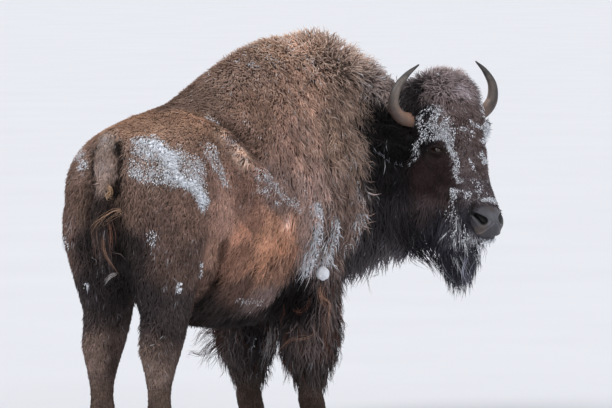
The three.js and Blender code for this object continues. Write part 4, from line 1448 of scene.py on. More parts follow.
@dataclass(frozen=True)
class EyeFinish:
    """A dark wet eye: brown iris round a wide black pupil, brownish white in the corners."""

    iris: Triple = (52, 30, 18)
    white: Triple = (96, 74, 62)
    pupil: Triple = (0.003, 0.003, 0.004)
    rim: Triple = (0.006, 0.004, 0.004)

    def material(self) -> bpy.types.Material:
        """Makes the material, which reads ring, the distance from the eye's front.

        Returns:
            The material.
        """
        g = Graph.finish("eye")
        ring = g.attribute("ring")
        iris = g.shade(linear(self.iris), g.grain(700, 3, (0.7, 1.3)))
        inner = g.mix(g.spread(ring, 0.20, 0.26, (0, 1)), self.pupil, iris)
        rim = g.mix(g.spread(ring, 0.40, 0.50, (0, 1)), inner, self.rim)
        g.give(Base_Color=g.mix(g.spread(ring, 0.52, 0.66, (0, 1)), rim, linear(self.white)))
        g.give(Roughness=0.08, Specular_IOR_Level=0.15, Coat_Weight=0.95, Coat_Roughness=0.03)
        g.bump(g.noise(300, 2), 0.0001, 0.3)
        return g.owner


@dataclass(frozen=True)
class HoofFinish:
    """Dry dark horn with growth rings and scuffed lower edges."""

    wall: Triple = (46, 40, 37)
    scuff: Triple = (104, 94, 84)

    def material(self) -> bpy.types.Material:
        """Makes the material, which reads along, the height up the wall.

        Returns:
            The material.
        """
        g = Graph.finish("hoof")
        fibre = g.grain(340, 4, (0.7, 1.3), (0.25, 0.75), (1, 1, 0.2))
        low = g.spread(g.attribute("along"), 0.0, 0.35, (0.8, 0))
        worn = g.times(low, g.grain(110, 4, (0, 1), (0.4, 0.65)))
        g.give(Base_Color=g.mix(worn, g.shade(linear(self.wall), fibre), linear(self.scuff)))
        g.give(Roughness=g.spread(worn, 0, 1, (0.5, 0.8)))
        g.bump(g.noise(420, 4, (1, 1, 0.2)), 0.0008, 0.8)
        return g.owner


@dataclass(frozen=True)
class SnowFinish:
    """Snow caught in the hair."""

    white: Triple = (240, 243, 249)

    def material(self) -> bpy.types.Material:
        """Makes the material: white with fine grain.

        Returns:
            The material.
        """
        g = Graph.finish("snow")
        g.give(Base_Color=g.shade(linear(self.white), g.grain(300, 3, (0.88, 1.06))), Roughness=0.8)
        g.bump(g.noise(600, 3), 0.001, 0.8)
        return g.owner


# ---------------------------------------------------------------- skin


@dataclass(frozen=True)
class Swell:
    """A swelling or hollow of the head, and its mirror: where, how far it reaches and how far out."""

    at: Triple
    reach: Triple
    out: float


@dataclass
class Skin:
    """One skin over all the flesh, inside the frame's solids by the depth of the coat.

    It is the outer surface of the joined flesh nodes on a lattice, evened, made finer towards the face, drawn
    in along its own normals, and then shaped on the head by swellings of the form out times e to the minus
    squared distance in reaches.
    """

    groom: Groom
    markings: Markings
    lattice: float = 0.013
    grown: float = 0.0014  # closes the thin cuts between the nodes
    reaches: Triple = (0.31, 0.063, 0.034)  # of the finer face and of the finer openings
    bare_depth: float = 0.001
    lowest: float = 0.05
    underside: Underside | None = None
    inside: Array | None = None  # how far each point lies in a nostril; dress darkens it there as painted shade

    FACE_MIDDLE, FACE_SHAPE = (0.28, 0, -0.08), (1.15, 0.75, 0.75)
    SWELLS = [
        Swell((0.17, 0.105, 0.015), (0.035, 0.035, 0.03), 0.009),
        Swell((0.235, 0.125, -0.075), (0.05, 0.03, 0.02), 0.004),
        Swell((0.30, 0.115, -0.09), (0.06, 0.03, 0.03), 0.005),
        Swell((0.35, 0.095, -0.02), (0.08, 0.03, 0.02), -0.004),
        Swell((0.545, 0.068, -0.045), (0.035, 0.022, 0.03), 0.006),
        Swell((0.43, 0.08, -0.10), (0.05, 0.03, 0.03), -0.004),
        Swell((0.60, 0.0, -0.055), (0.03, 0.012, 0.04), -0.002),
        Swell((0.612, 0.0, -0.016), (0.016, 0.05, 0.018), -0.005),
    ]
    SOCKET_DEPTH, SOCKET_RIM = 0.020, (0.014, 0.034)
    CREASES = (0.040, 0.048, 0.056)  # how far each lies below the eye
    CREASE_DEPTH, CREASE_WIDTH = 0.0016, 0.0022
    NOSTRIL = [(0.516, 0.070, -0.029), (0.562, 0.043, -0.015)]
    NOSTRIL_RADII = (0.005, 0.0165)
    NOSTRIL_DEPTH, NOSTRIL_WAY = 0.022, (-0.5, -0.55, -0.45)
    LEFT_NOSTRIL_BACK = 0.005  # how much further round the left nostril lies
    MUZZLE_FROM = 0.45
    MOUTH = [(0.622, 0, -0.050), (0.608, 0.045, -0.062), (0.575, 0.074, -0.085), (0.520, 0.082, -0.105)]

    def union(self) -> bpy.types.Mesh:
        """Joins the flesh nodes into one skin by a voxel remesh.

        Returns:
            Their outer surface together, as an even lattice of faces.
        """
        loose = bmesh.new()
        for name in FLESH:
            loose.from_mesh(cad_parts[name].data)
        bmesh.ops.remove_doubles(loose, verts=loose.verts, dist=1e-5)
        mesh = bpy.data.meshes.new("flesh")
        loose.to_mesh(mesh)
        loose.free()
        made = bpy.data.objects.new("flesh", mesh)
        bpy.context.scene.collection.objects.link(made)
        grow = made.modifiers.new("grow", "DISPLACE")
        grow.strength, grow.mid_level = self.grown, 0
        remesh = made.modifiers.new("remesh", "REMESH")
        remesh.mode, remesh.voxel_size = "VOXEL", self.lattice
        graph = bpy.context.evaluated_depsgraph_get()
        result = bpy.data.meshes.new_from_object(made.evaluated_get(graph))
        bpy.data.objects.remove(made)
        return result

    @staticmethod
    def refine(mesh: bpy.types.Mesh, wanted: Array) -> None:
        """Halves the edges whose points are both wanted, and fills their faces with a finer grid.

        Args:
            mesh: The mesh, which is changed.
            wanted: Whether each point is wanted.
        """
        chosen = np.flatnonzero(wanted[numbers_of(mesh.edges, "vertices", 2)].all(1))
        work = bmesh.new()
        work.from_mesh(mesh)
        work.edges.ensure_lookup_table()
        edges = [work.edges[i] for i in chosen]
        bmesh.ops.subdivide_edges(work, edges=edges, cuts=1, use_grid_fill=True)
        work.to_mesh(mesh)
        work.free()

    def away(self, level: int, points: Array) -> Array:
        """How far points are from what a level of refinement is for.

        Args:
            level: 0 for the whole face, and above that for its openings.
            points: The points.

        Returns:
            The distance, in metres, from the face's middle or from the eyes, nostrils and mouth.
        """
        if level == 0:
            return np.linalg.norm((STANCE.in_head(points) - self.FACE_MIDDLE) / self.FACE_SHAPE, axis=1)
        head = STANCE.in_half_head(points)
        eye = np.linalg.norm(head - [STANCE.eye_down, 0.12, STANCE.eye_up], axis=1)
        return np.minimum.reduce([eye, route_distance(head, self.NOSTRIL), route_distance(head, self.MOUTH)])

    def build(self) -> bpy.types.Mesh:
        """Makes the skin's mesh.

        Returns:
            The closed skin, without its ears and lids.
        """
        mesh = self.union()
        self.underside = Underside(points_of(mesh))
        evened(mesh, points_of(mesh), 0.5, 6)
        for level, reach in enumerate(self.reaches):
            self.refine(mesh, self.away(level, points_of(mesh)) < reach)
            points = points_of(mesh)
            evened(mesh, points, 0.5 * (self.away(level, points) < reach * 1.1), 3)
        points, outward, bare = points_of(mesh), normals_of(mesh), naked(points_of(mesh))
        depth = self.groom.at(points).depth * (1 - bare) + self.bare_depth * bare
        evened(mesh, points - outward * depth[:, None], 0.3, 2)
        points, outward = points_of(mesh), normals_of(mesh)
        for stroke in (s for s in self.markings.strokes if s.rise):
            points += outward * (stroke.rise * stroke.nearness(points, outward))[:, None]
        put_points(mesh, points)
        self.shape_face(mesh)
        points = points_of(mesh)
        points[:, 2] = np.maximum(points[:, 2], self.lowest)
        put_points(mesh, points)
        return mesh

    def shape_face(self, mesh: bpy.types.Mesh) -> None:
        """Adds the folds, the sockets, the nostrils and the mouth.

        Args:
            mesh: The skin, which is changed.
        """
        points, outward = points_of(mesh), normals_of(mesh)
        side, head = np.sign(STANCE.in_head(points)[:, 1]), STANCE.in_half_head(points)
        out = np.zeros(len(points))
        for swell in self.SWELLS:
            out += swell.out * np.exp(-(((head - swell.at) / swell.reach) ** 2).sum(1))
        eye = np.linalg.norm(head - [STANCE.eye_down, 0.125, STANCE.eye_up], axis=1)
        out -= self.SOCKET_DEPTH * (1 - ramp(eye, *self.SOCKET_RIM))
        for crease in self.CREASES:
            out -= self.CREASE_DEPTH * bell(eye, crease, self.CREASE_WIDTH) * (head[:, 0] > 0.235)
        mouth = route_distance(head, self.MOUTH)
        out += 0.0035 * bell(mouth, 0.011, 0.006) - 0.008 * bell(mouth, 0, 0.004)
        shift = np.stack([0 * side, -self.LEFT_NOSTRIL_BACK * (side > 0), 0 * side], 1)
        first, last = np.array(self.NOSTRIL)
        pit = np.full(len(points), np.inf)
        for share in np.linspace(0, 1, 10):
            near = np.linalg.norm(head + shift - (first + (last - first) * share), axis=1)
            pit = np.minimum(pit, near / np.interp(share, (0, 1), self.NOSTRIL_RADII))
        self.inside = 1 - ramp(pit, 0.80, 1.25)
        muzzle = head[:, 0] > self.MUZZLE_FROM
        out += 0.004 * bell(pit, 1.6, 0.5) * muzzle
        inward = np.ones((len(points), 3)) * self.NOSTRIL_WAY
        inward[:, 1] *= side
        hollow = self.NOSTRIL_DEPTH * (1 - ramp(pit, 0.55, 1.15)) * muzzle
        points = points + outward * out[:, None]
        put_points(mesh, points + (hollow[:, None] * unit(inward)) @ STANCE.head.T)

    @staticmethod
    def with_parts(mesh: bpy.types.Mesh, parts: Iterable[Shell]) -> bpy.types.Mesh:
        """The skin with its ears and lids.

        Args:
            mesh: The skin.
            parts: Shells that belong to it.

        Returns:
            One mesh of all.
        """
        corners, counts = numbers_of(mesh.loops, "vertex_index"), numbers_of(mesh.polygons, "loop_total")
        starts = np.cumsum(counts) - counts
        faces = [corners[starts[counts == n][:, None] + np.arange(n)] for n in np.unique(counts)]
        whole = Shell(points_of(mesh), faces)
        for part in parts:
            whole = whole.joined(part)
        return whole.mesh("skin")

    def dress(self, mesh: bpy.types.Mesh) -> None:
        """Keeps the markings on the skin's points for its finish.

        Args:
            mesh: The skin, which is changed.
        """
        points = points_of(mesh)
        colour, frost = self.markings.at(points, normals_of(mesh))
        bare = naked(points)
        # the insides of the nostrils darkened almost to black: painted shade in the hollows
        colour[: len(self.inside)] *= 1 - 0.95 * self.inside[:, None]
        put_values(mesh, "tint", colour * (1 - 0.4 * frost[:, None] * (1 - bare[:, None])))
        put_values(mesh, "naked", bare)


# ---------------------------------------------------------------- coat


@dataclass
class Roots:
    """Where tufts grow, as arrays of one row a tuft."""

    place: Array
    outward: Array
    hairs: Hairs
    colour: Array
    frost: Array

    def only(self, chosen: Array) -> Roots:
        """The chosen roots."""
        hairs = Hairs(*(getattr(self.hairs, field.name)[chosen] for field in fields(Hairs)))
        return Roots(self.place[chosen], self.outward[chosen], hairs, self.colour[chosen], self.frost[chosen])


RING_PLACES = {1: (0.40,), 2: (0.28, 0.64), 3: (0.18, 0.45, 0.75)}
RING_GIRTHS = {1: (1.0,), 2: (1.0, 0.72), 3: (0.9, 1.0, 0.62)}
LONG, LONGEST = 0.055, 0.095  # from these lengths a tuft has two rings, and three
CORNERS = np.radians(90 + 120 * np.arange(3))  # of a hair's three-pointed ring
HEAD_PATCHES = (Patch.CROWN, Patch.FACE, Patch.CHEEKS, Patch.BEARD, Patch.EARS)


@dataclass
class Coat:
    """Tufts of hair over the whole skin, joined into a piece for each patch.

    A tuft is a closed spindle: a root point, one to three rings of three points and a tip. Its middle line
    starts along the skin at the tuft's lift, levels off, hangs by its weight, waves to and fro and draws
    towards the middle of its lock.
    """

    groom: Groom
    markings: Markings
    underside: Underside
    faces: int = 1_340_000
    seed: int = 11
    sunk: float = 0.002
    flatness: float = 0.62
    patch_width: float = 0.003
    fine_lock: float = 0.017
    broad_lock: float = 0.034
    lowest: float = 0.004
    fewest: int = 20  # tufts that make a piece

    def scatter(self, mesh: bpy.types.Mesh) -> Roots:
        """Places roots over the skin, as many as the cover asks for and the faces allow.

        Args:
            mesh: The skin.

        Returns:
            The roots, evenly spread: each takes its turn along the running sum of the wanted numbers.
        """
        rng = np.random.default_rng(self.seed)
        mesh.calc_loop_triangles()
        corners = numbers_of(mesh.loop_triangles, "vertices", 3)
        points, outward = points_of(mesh), normals_of(mesh)
        a, b, c = (points[corners[:, k]] for k in range(3))
        area = np.linalg.norm(np.cross(b - a, c - a), axis=1) / 2
        hairs = self.groom.at((a + b + c) / 3)
        wanted = area * hairs.cover / (0.5 * hairs.width * hairs.length)
        cost = wanted * 6 * self.rings_of(hairs.length)
        LOG.info("coat: %.2f of the cover asked for", self.faces / cost.sum())
        total = np.cumsum(wanted * (self.faces / cost.sum()))
        turns = np.arange(int(total[-1])) + rng.random(int(total[-1]))
        face = np.minimum(np.searchsorted(total, turns), len(area) - 1)
        u, v = rng.random((2, len(face)))
        over = u + v > 1
        u, v = np.where(over, 1 - u, u), np.where(over, 1 - v, v)
        shares = np.stack([1 - u - v, u, v], 1)[..., None]
        place = (points[corners[face]] * shares).sum(1)
        normal = unit((outward[corners[face]] * shares).sum(1))
        return Roots(place, normal, self.groom.at(place), *self.markings.at(place, normal))

    @staticmethod
    def rings_of(length: Array) -> Array:
        """How many rings a tuft of each length has."""
        return 1 + (length > LONG) + (length > LONGEST)

    def tufts(self, roots: Roots, rings: int, rng: np.random.Generator) -> tuple[Array, Array]:
        """The points of some tufts.

        Args:
            roots: Where they grow.
            rings: How many rings each has.
            rng: The source of chance.

        Returns:
            Points by tuft, and how light each tuft's lock is: by the lock's own chance, and less between
            locks as painted shade.
        """
        h, outward, count = roots.hairs, roots.outward, len(roots.place)
        short = h.length < LONG
        fine, fine_lot = gather(roots.place, self.fine_lock, 60)
        broad, broad_lot = gather(roots.place, self.broad_lock, 70)
        pull = np.where(short[:, None], fine, broad) - roots.place
        lot = np.where(short, fine_lot, broad_lot)
        apart = np.linalg.norm(pull, axis=1) / np.where(short, self.fine_lock, self.broad_lock)
        # each lock lighter or darker by its own chance, and darker towards its edges: painted shade between
        # locks
        lock = np.clip(0.5 + 0.55 * lot - 0.4 * ramp(apart, 0.3, 0.85), 0, 1)
        # the way along the skin, turned by chance, by lock and by a slow drift
        lie = unit(levelled(h.lie, outward))
        yaw = np.radians(rng.normal(0, 13, count) * (1 + 1.3 * h.wave) + 34 * h.wave * (lot - 0.5))
        yaw += np.radians(22) * cloud(roots.place, 0.05, 80) * (0.5 + h.wave)
        lie = lie * np.cos(yaw)[:, None] + np.cross(outward, lie) * np.sin(yaw)[:, None]
        across = np.cross(outward, lie)
        lift = np.radians(h.lift) * np.clip(rng.normal(1, 0.28, count), 0.4, 1.9)
        length = h.length * rng.uniform(0.72, 1.22, count) * (0.86 + 0.28 * lot)
        width = h.width * rng.uniform(0.75, 1.25, count) * (1 + 0.35 * roots.frost)
        phase, swing = rng.random(count)[:, None, None], rng.choice([-1, 1], count)
        # the middle line for a length of one
        t = np.array([0, *RING_PLACES[rings], 1])[None, :, None]
        out = np.sin(lift)[:, None, None] * (t - 0.42 * t**2)
        line = lie[:, None] * np.cos(lift)[:, None, None] * t + outward[:, None] * out
        line = line + DOWNWARD * (0.5 * h.hang[:, None, None] * t**2)
        turns = 0.5 + 0.5 * h.length[:, None, None] / LONGEST
        wave = np.sin(ROUND * (turns * t + phase)) - np.sin(ROUND * phase)
        line = line + across[:, None] * wave * (0.10 * h.wave * swing)[:, None, None] * t**0.5
        # shortened where the tip would stand too proud of the skin or hang below the solids
        start = roots.place - outward * self.sunk
        proud = (line[:, -1] * outward).sum(1) * length / np.maximum(h.depth, 0.002)
        length = length / np.maximum(1, proud / (rng.uniform(0.68, 1, count) * h.proud))
        tip = start + line[:, -1] * length[:, None]
        fringe = is_of(h.patch, Patch.THROAT, Patch.BEARD)
        low = self.underside.at(tip) - np.where(fringe, 0.058, 0.028) * rng.random(count) ** 2
        fall = np.maximum(start[:, 2] - tip[:, 2], 1e-4)
        length = length * np.clip((start[:, 2] - low) / fall, 0.25, 1)
        pull = levelled(pull * h.bunch[:, None], outward)
        line = start[:, None] + line * length[:, None, None] + pull[:, None] * 0.75 * t**1.4
        # the rings round it
        run = unit(line[:, 2:] - line[:, :-2])
        flat = unit(np.cross(run, outward[:, None]))
        rise = np.cross(flat, run)
        turn = CORNERS[None, None, :, None]
        girth = (np.array(RING_GIRTHS[rings])[None] * width[:, None] / 2)[:, :, None, None]
        ring = flat[:, :, None] * np.cos(turn) - rise[:, :, None] * (self.flatness * np.sin(turn))
        ring = line[:, 1:-1, None] + ring * girth
        points = np.concatenate([line[:, :1], ring.reshape(count, -1, 3), line[:, -1:]], axis=1)
        points[..., 2] = np.maximum(points[..., 2], self.lowest)
        return points, lock

    @staticmethod
    def faces_of(rings: int) -> Array:
        """The faces of one tuft, whose points are its root, its rings of three and its tip.

        Args:
            rings: How many rings it has.

        Returns:
            One row of three numbers a face.
        """
        k = np.arange(3)
        n, first, tip = (k + 1) % 3, 1, 1 + 3 * rings
        faces = [np.stack([0 * k, first + k, first + n], 1)]
        for r in range(rings - 1):
            a, b = first + 3 * r + k, first + 3 * r + n
            faces += [np.stack([a, b + 3, b], 1), np.stack([a, a + 3, b + 3], 1)]
        faces.append(np.stack([tip - 3 + k, tip + 0 * k, tip - 3 + n], 1))
        return np.vstack(faces)

    @staticmethod
    def flat_place(place: Array, patch: Patch) -> Array:
        """Where roots lie on an unwrap of the skin: the angle round the part they grow on, and how far along.

        Args:
            place: The roots of one piece.
            patch: The piece's patch.

        Returns:
            Two numbers a root, filling the square from 0.01 to 0.99.
        """
        (down, side, up), (along, out, high) = STANCE.in_head(place).T, STANCE.along_spine(place).T
        if patch in (Patch.CROWN, Patch.FACE, Patch.CHEEKS):
            made = [np.arctan2(side, up + 0.1), down]
        elif patch is Patch.EARS:
            made = [np.arctan2(up + 0.13, down - 0.1), side]
        elif patch is Patch.BEARD:
            local = (place - STANCE.place(Home.BEARD, (0.075, 0, 0))) @ turned(STANCE.head_turn, 2)
            made = [np.arctan2(local[:, 1], local[:, 0]), high]
        elif patch in (Patch.CHAPS, Patch.SHANKS, Patch.THIGHS):
            fore = along > 0.7
            made = [np.arctan2(np.abs(out) - 0.15, along - np.where(fore, 1.24, 0.2)) + 7 * fore, high]
        elif patch is Patch.TAIL:
            made = [np.arctan2(out, along - 0.03), high]
        else:
            made = [np.arctan2(out, high - 0.95), along]
        flat = np.stack(made, 1)
        return 0.01 + 0.98 * (flat - flat.min(0)) / np.maximum(np.ptp(flat, axis=0), 1e-6)

    def grown(self, roots: Roots, name: str, patch: Patch, material: bpy.types.Material) -> None:
        """Makes one piece of coat.

        Args:
            roots: The piece's roots.
            name: The piece's name.
            patch: Its patch.
            material: Its finish.
        """
        rng = np.random.default_rng([self.seed, *name.encode()])
        places = self.flat_place(roots.place, patch)
        rings = self.rings_of(roots.hairs.length)
        shell, layers, maps = Shell(np.empty((0, 3)), []), [], []
        for number in (1, 2, 3):
            chosen = np.flatnonzero(rings == number)
            if not len(chosen):
                continue
            some = roots.only(chosen)
            (points, lock), faces = self.tufts(some, number, rng), self.faces_of(number)
            count, size = points.shape[:2]
            whole = (np.arange(count)[:, None, None] * size + faces[None]).reshape(-1, 3)
            shell = shell.joined(Shell(points.reshape(-1, 3), [whole]))
            share = np.concatenate([[0.0], np.repeat(RING_PLACES[number], 3), [1.0]])
            along = np.tile(share, count)
            # each tuft's own chance, with its lock's tone and the painted shade between locks, for the
            # finish's chance
            lot = np.repeat(0.45 * rng.random(count) + 0.55 * lock, size)
            speck = clouds(some.place, [(0.5, 0.007, 21), (0.35, 0.018, 22)])
            rimed = (1.45 * some.frost + speck - 0.30 - 0.75 * rng.random(count)) * 4 * (some.frost > 0.02)
            reached = np.clip((along - 0.62 + 0.6 * np.repeat(some.frost, size)) * 3, 0, 1)
            rimed = np.repeat(np.clip(rimed, 0, 1), size) * reached
            layers.append(np.column_stack([along, lot, rimed, np.repeat(some.colour, size, axis=0)]))
            across = np.concatenate([[0.0], np.tile([-0.5, 0, 0.5], number), [0.0]])
            local = np.stack([across, share - 0.5], 1) * self.patch_width
            maps.append((places[chosen][:, None] + local[None])[:, faces.ravel()].reshape(-1, 2))
        mesh = shell.mesh(name)
        put_hair(mesh, layers, np.vstack(maps))
        piece(name, mesh, material)

    def build(self, skin: bpy.types.Mesh, material: bpy.types.Material) -> Roots:
        """Makes every piece of the coat.

        Args:
            skin: The skin.
            material: The hair's finish.

        Returns:
            All the roots.
        """
        roots = self.scatter(skin)
        number = roots.hairs.patch
        head, spine = STANCE.in_head(roots.place)[:, 1], STANCE.along_spine(roots.place)[:, 1]
        out = np.where(is_of(number, *HEAD_PATCHES), head, spine)
        for patch in Patch:
            for side, chosen in (("left", out > 0), ("right", out <= 0)):
                mine = (number == patch.number) & chosen
                if mine.sum() >= self.fewest:
                    self.grown(roots.only(mine), f"coat_{patch.value}_{side}", patch, material)
        return roots


# ---------------------------------------------------------------- ears, lids and eyes


@dataclass(frozen=True)
class Ears:
    """Two cupped ears that grow out of the skin, sideways and back.

    Each is a leaf carried along a curve: rings whose outer side is an arc bent round the hollow, and whose
    inner side is the same arc drawn in by the ear's thickness.
    """

    sides: int = 17
    rings: int = 26
    cup: float = 1.25
    cup_depth: float = 0.62
    thick: float = 0.0045
    thinnest: float = 0.0008

    ROUTE = [
        (0.136, 0.105, -0.088), (0.126, 0.192, -0.108), (0.098, 0.242, -0.126), (0.072, 0.284, -0.144),
        (0.060, 0.302, -0.153),
    ]
    HALF_WIDTHS = [0.020, 0.036, 0.040, 0.026, 0.004]
    FACING = (0.45, 0, 0.9)

    def shell(self, side: int) -> Shell:
        """One ear.

        Args:
            side: 1 for the left, -1 for the right.

        Returns:
            Its closed shell.
        """
        knots = np.column_stack([np.array(self.ROUTE) * [1, side, 1], self.HALF_WIDTHS])
        line, _ = curve_through(knots, self.rings)
        run = unit(np.gradient(line[:, :3], axis=0))
        facing = unit(np.cross(run, np.cross(self.FACING, run)))
        bend = np.linspace(-self.cup, self.cup, self.sides)
        arc_across, arc_deep = np.sin(bend) / np.sin(self.cup), self.cup_depth * np.cos(bend)
        rim = np.sqrt(np.maximum(1 - np.linspace(-1, 1, self.sides) ** 2, 0))
        half = line[:, 3][:, None, None]
        flat = line[:, None, :3] + np.cross(facing, run)[:, None] * half * arc_across[None, :, None]
        outer = flat - facing[:, None] * (half * arc_deep[None, :, None])
        inner = outer + facing[:, None] * (self.thick * rim[None, :, None] + self.thinnest)
        rings = np.concatenate([outer, inner[:, ::-1]], axis=1)
        return tube(rings[:, ::-1] if side > 0 else rings).placed(STANCE.poll, STANCE.head)


@dataclass(frozen=True)
class Eyes:
    """Two eyes set deep under the brow, with lids that belong to the skin."""

    bulge: float = 0.05
    bulge_width: float = 0.5
    ball: float = 0.97  # share of the node's size
    half_long: float = 0.0240
    half_tall: float = 0.0108
    lower: float = 0.8  # the lower lid's opening as a share of the upper one's
    tilt: float = 7.0  # degrees, the corner by the muzzle being the lower
    reach: Span = (0.048, 0.040)
    around: int = 56
    rows: int = 22
    swell: float = 0.0045
    fold: float = 0.0011

    LOOK = (0.1, 0.88, 0.50)

    @staticmethod
    def centre(side: str) -> tuple[Array, float]:
        """Where an eye is, and its radius, from its node."""
        low, high = box_of(f"eye_{side}")
        return (low + high) / 2, float((high - low).max() / 2)

    def axes(self, side: str) -> Array:
        """The directions in which an eye is built.

        Args:
            side: l or r.

        Returns:
            Its axes as columns: along the slit towards the muzzle, across it upward, and out.
        """
        out = STANCE.head @ unit(np.array(self.LOOK) * [1, 1 if side == "l" else -1, 1])
        level = unit(np.cross(DOWNWARD, out))
        slit = unit(levelled(level * np.sign(level @ STANCE.head[:, 0]), out))
        up = np.cross(out, slit)
        up = up * np.sign(up[2])
        c, s = np.cos(np.radians(self.tilt)), np.sin(np.radians(self.tilt))
        return np.stack([slit * c - up * s, up * c + slit * s, out], 1)

    def lids(self, side: str, skin: Array) -> Shell:
        """The lids of one eye: a band from the edge of the slit out to under the skin.

        Args:
            side: l or r.
            skin: The points of the skin.

        Returns:
            A band whose height follows the ball at the slit, crests in folds, and then falls to the skin's
            own height, which is the mean of near skin points by the inverse fourth power of distance.
        """
        (centre, radius), axes = self.centre(side), self.axes(side)
        angle, v = circle(self.around)[None], np.linspace(0, 1, self.rows)[:, None]
        c, s = np.cos(angle), np.sin(angle)
        tall = self.half_tall * np.where(s > 0, 1.0, self.lower)
        x = (self.half_long + (self.reach[0] - self.half_long) * v) * c
        y = np.abs(s) ** (1 + 0.35 * (1 - v)) * np.sign(s) * (tall + (self.reach[1] - tall) * v)
        inner = np.minimum(np.hypot(self.half_long * c, tall * s), radius * 0.98)
        ball = np.sqrt((radius + 0.0012) ** 2 - inner**2)
        local = (skin - centre) @ axes
        near = local[(np.hypot(local[:, 0], local[:, 1]) < 0.07) & (local[:, 2] > -0.045)]
        far = (x.ravel()[:, None] - near[:, 0]) ** 2 + (y.ravel()[:, None] - near[:, 1]) ** 2
        share = 1 / (far + 4e-6) ** 2
        level = ((share @ near[:, 2]) / share.sum(1)).reshape(x.shape)
        swell = self.swell * np.sin(np.pi * np.clip(v / 0.62, 0, 1)) * (1 + 0.35 * np.maximum(s, 0))
        folds = self.fold * np.sin(ROUND * (v * 5.2 + 0.12 * np.sin(3 * angle)))
        folds = folds * ramp(v, 0.12, 0.3) * (1 - ramp(v, 0.7, 0.9))
        leave = ramp(v, 0.10, 0.85)
        z = (1 - leave) * (ball + 0.0015 * ramp(v, 0, 0.06)) + leave * level
        z = z + swell + folds - 0.006 * ramp(v, 0.8, 1)
        lip = np.stack([x[:1] * 0.94, y[:1] * 0.8, z[:1] - 0.005], -1)  # turns in behind the edge
        rings = np.concatenate([lip, np.stack([x, y, z], -1)])
        shell = Shell(rings.reshape(-1, 3), [walls(len(rings), self.around)])
        return self.right_way(shell, axes).placed(centre, axes)

    @staticmethod
    def right_way(shell: Shell, axes: Array) -> Shell:
        """A shell whose faces look outward once it is in place."""
        return shell.flipped() if np.linalg.det(axes) > 0 else shell

    def build(self, material: bpy.types.Material) -> None:
        """Makes both eyeballs: spheres whose fronts rise by a bulge times e to the minus squared angle.

        Args:
            material: Their finish, which reads ring: the angle from the front over a right angle.
        """
        fall, angle = np.linspace(0, np.pi, 34)[1:-1, None], circle(40)[None]
        across = np.sin(fall)
        local = np.stack([across * np.cos(angle), across * np.sin(angle), np.cos(fall) + 0 * angle], -1)
        rise = 1 + self.bulge * bell(fall, 0, self.bulge_width)
        for side in "lr":
            (centre, radius), axes = self.centre(side), self.axes(side)
            shell = self.right_way(tube(local * (radius * self.ball * rise)[..., None]), axes)
            flat = unit(shell.points)
            ring = np.arctan2(np.hypot(flat[:, 0] * 0.85, flat[:, 1] * 1.1), flat[:, 2]) / (np.pi / 2)
            mesh = shell.placed(centre, axes).mesh(f"eyeball_{side}")
            put_values(mesh, "ring", ring)
            piece(f"eyeball_{side}", mesh, material, (f"eye_{side}",))


# ---------------------------------------------------------------- horns and hooves


@dataclass(frozen=True)
class Horns:
    """Two horns: a slightly flat round profile carried along a curve out, up and in, ringed near the base."""

    rings: int = 110
    sides: int = 30
    flat: float = 0.94
    ring_rise: float = 0.022
    ridge_rise: float = 0.014
    left_dark: float = 0.45  # how much darker the left horn is made: painted shade

    ROUTE = [
        (74, 52, -82), (73, 100, -77), (67, 160, -71), (55, 222, -58),
        (20, 261, -30), (-30, 257, 8), (-76, 214, 42), (-108, 158, 70),
    ]  # in millimetres, as are the radii and the lean
    RADII = [33, 31, 29, 26.5, 23.5, 19, 12, 3]
    LEAN = np.array([0, 0, 0, 0, 0, 2, 8, 14])  # how far in the right horn's tip leans

    def build(self, material: bpy.types.Material) -> None:
        """Makes both horns, with along and outer kept on their points.

        Args:
            material: Their finish.
        """
        angle = circle(self.sides)
        for side, mark in ((1, "l"), (-1, "r")):
            knots = np.column_stack([np.array(self.ROUTE) * [1, side, 1], self.RADII]) / 1000
            knots[:, 1] += self.LEAN / 1000 * (side < 0)
            line, share = curve_through(knots, self.rings)
            run = unit(np.gradient(line[:, :3], axis=0))
            thin = unit(np.cross(np.cross(run, [0, 0, 1.0]), run))
            wide = np.cross(thin, run) * side
            relief = self.ring_rise * np.sin(ROUND * 17 * share**0.85) * (1 - ramp(share, 0.15, 0.55))
            ridge = self.ridge_rise * np.sin(7 * angle)[None] * ramp(share, 0.2, 0.5)[:, None]
            width = line[:, 3][:, None] * (1 + relief[:, None] + ridge)
            ring = wide[:, None] * np.cos(angle)[None, :, None]
            ring = ring + thin[:, None] * (self.flat * np.sin(angle))[None, :, None]
            rings = line[:, None, :3] + ring * width[..., None]
            shell = tube(rings if side > 0 else rings[:, ::-1]).placed(STANCE.poll, STANCE.head)
            mesh = shell.mesh(f"horn_shape_{mark}")
            put_values(mesh, "along", np.concatenate([np.repeat(share, self.sides), [0, 1]]))
            outer = np.tile(0.5 - 0.5 * np.cos(angle if side > 0 else angle[::-1]), self.rings)
            # the left horn's painted shade is added to outer, which its finish darkens
            outer = np.minimum(outer + self.left_dark * (side > 0), 1)
            put_values(mesh, "outer", np.concatenate([outer, [0.5, 0.5]]))
            piece(f"horn_shape_{mark}", mesh, material, (f"horn_{mark}",))


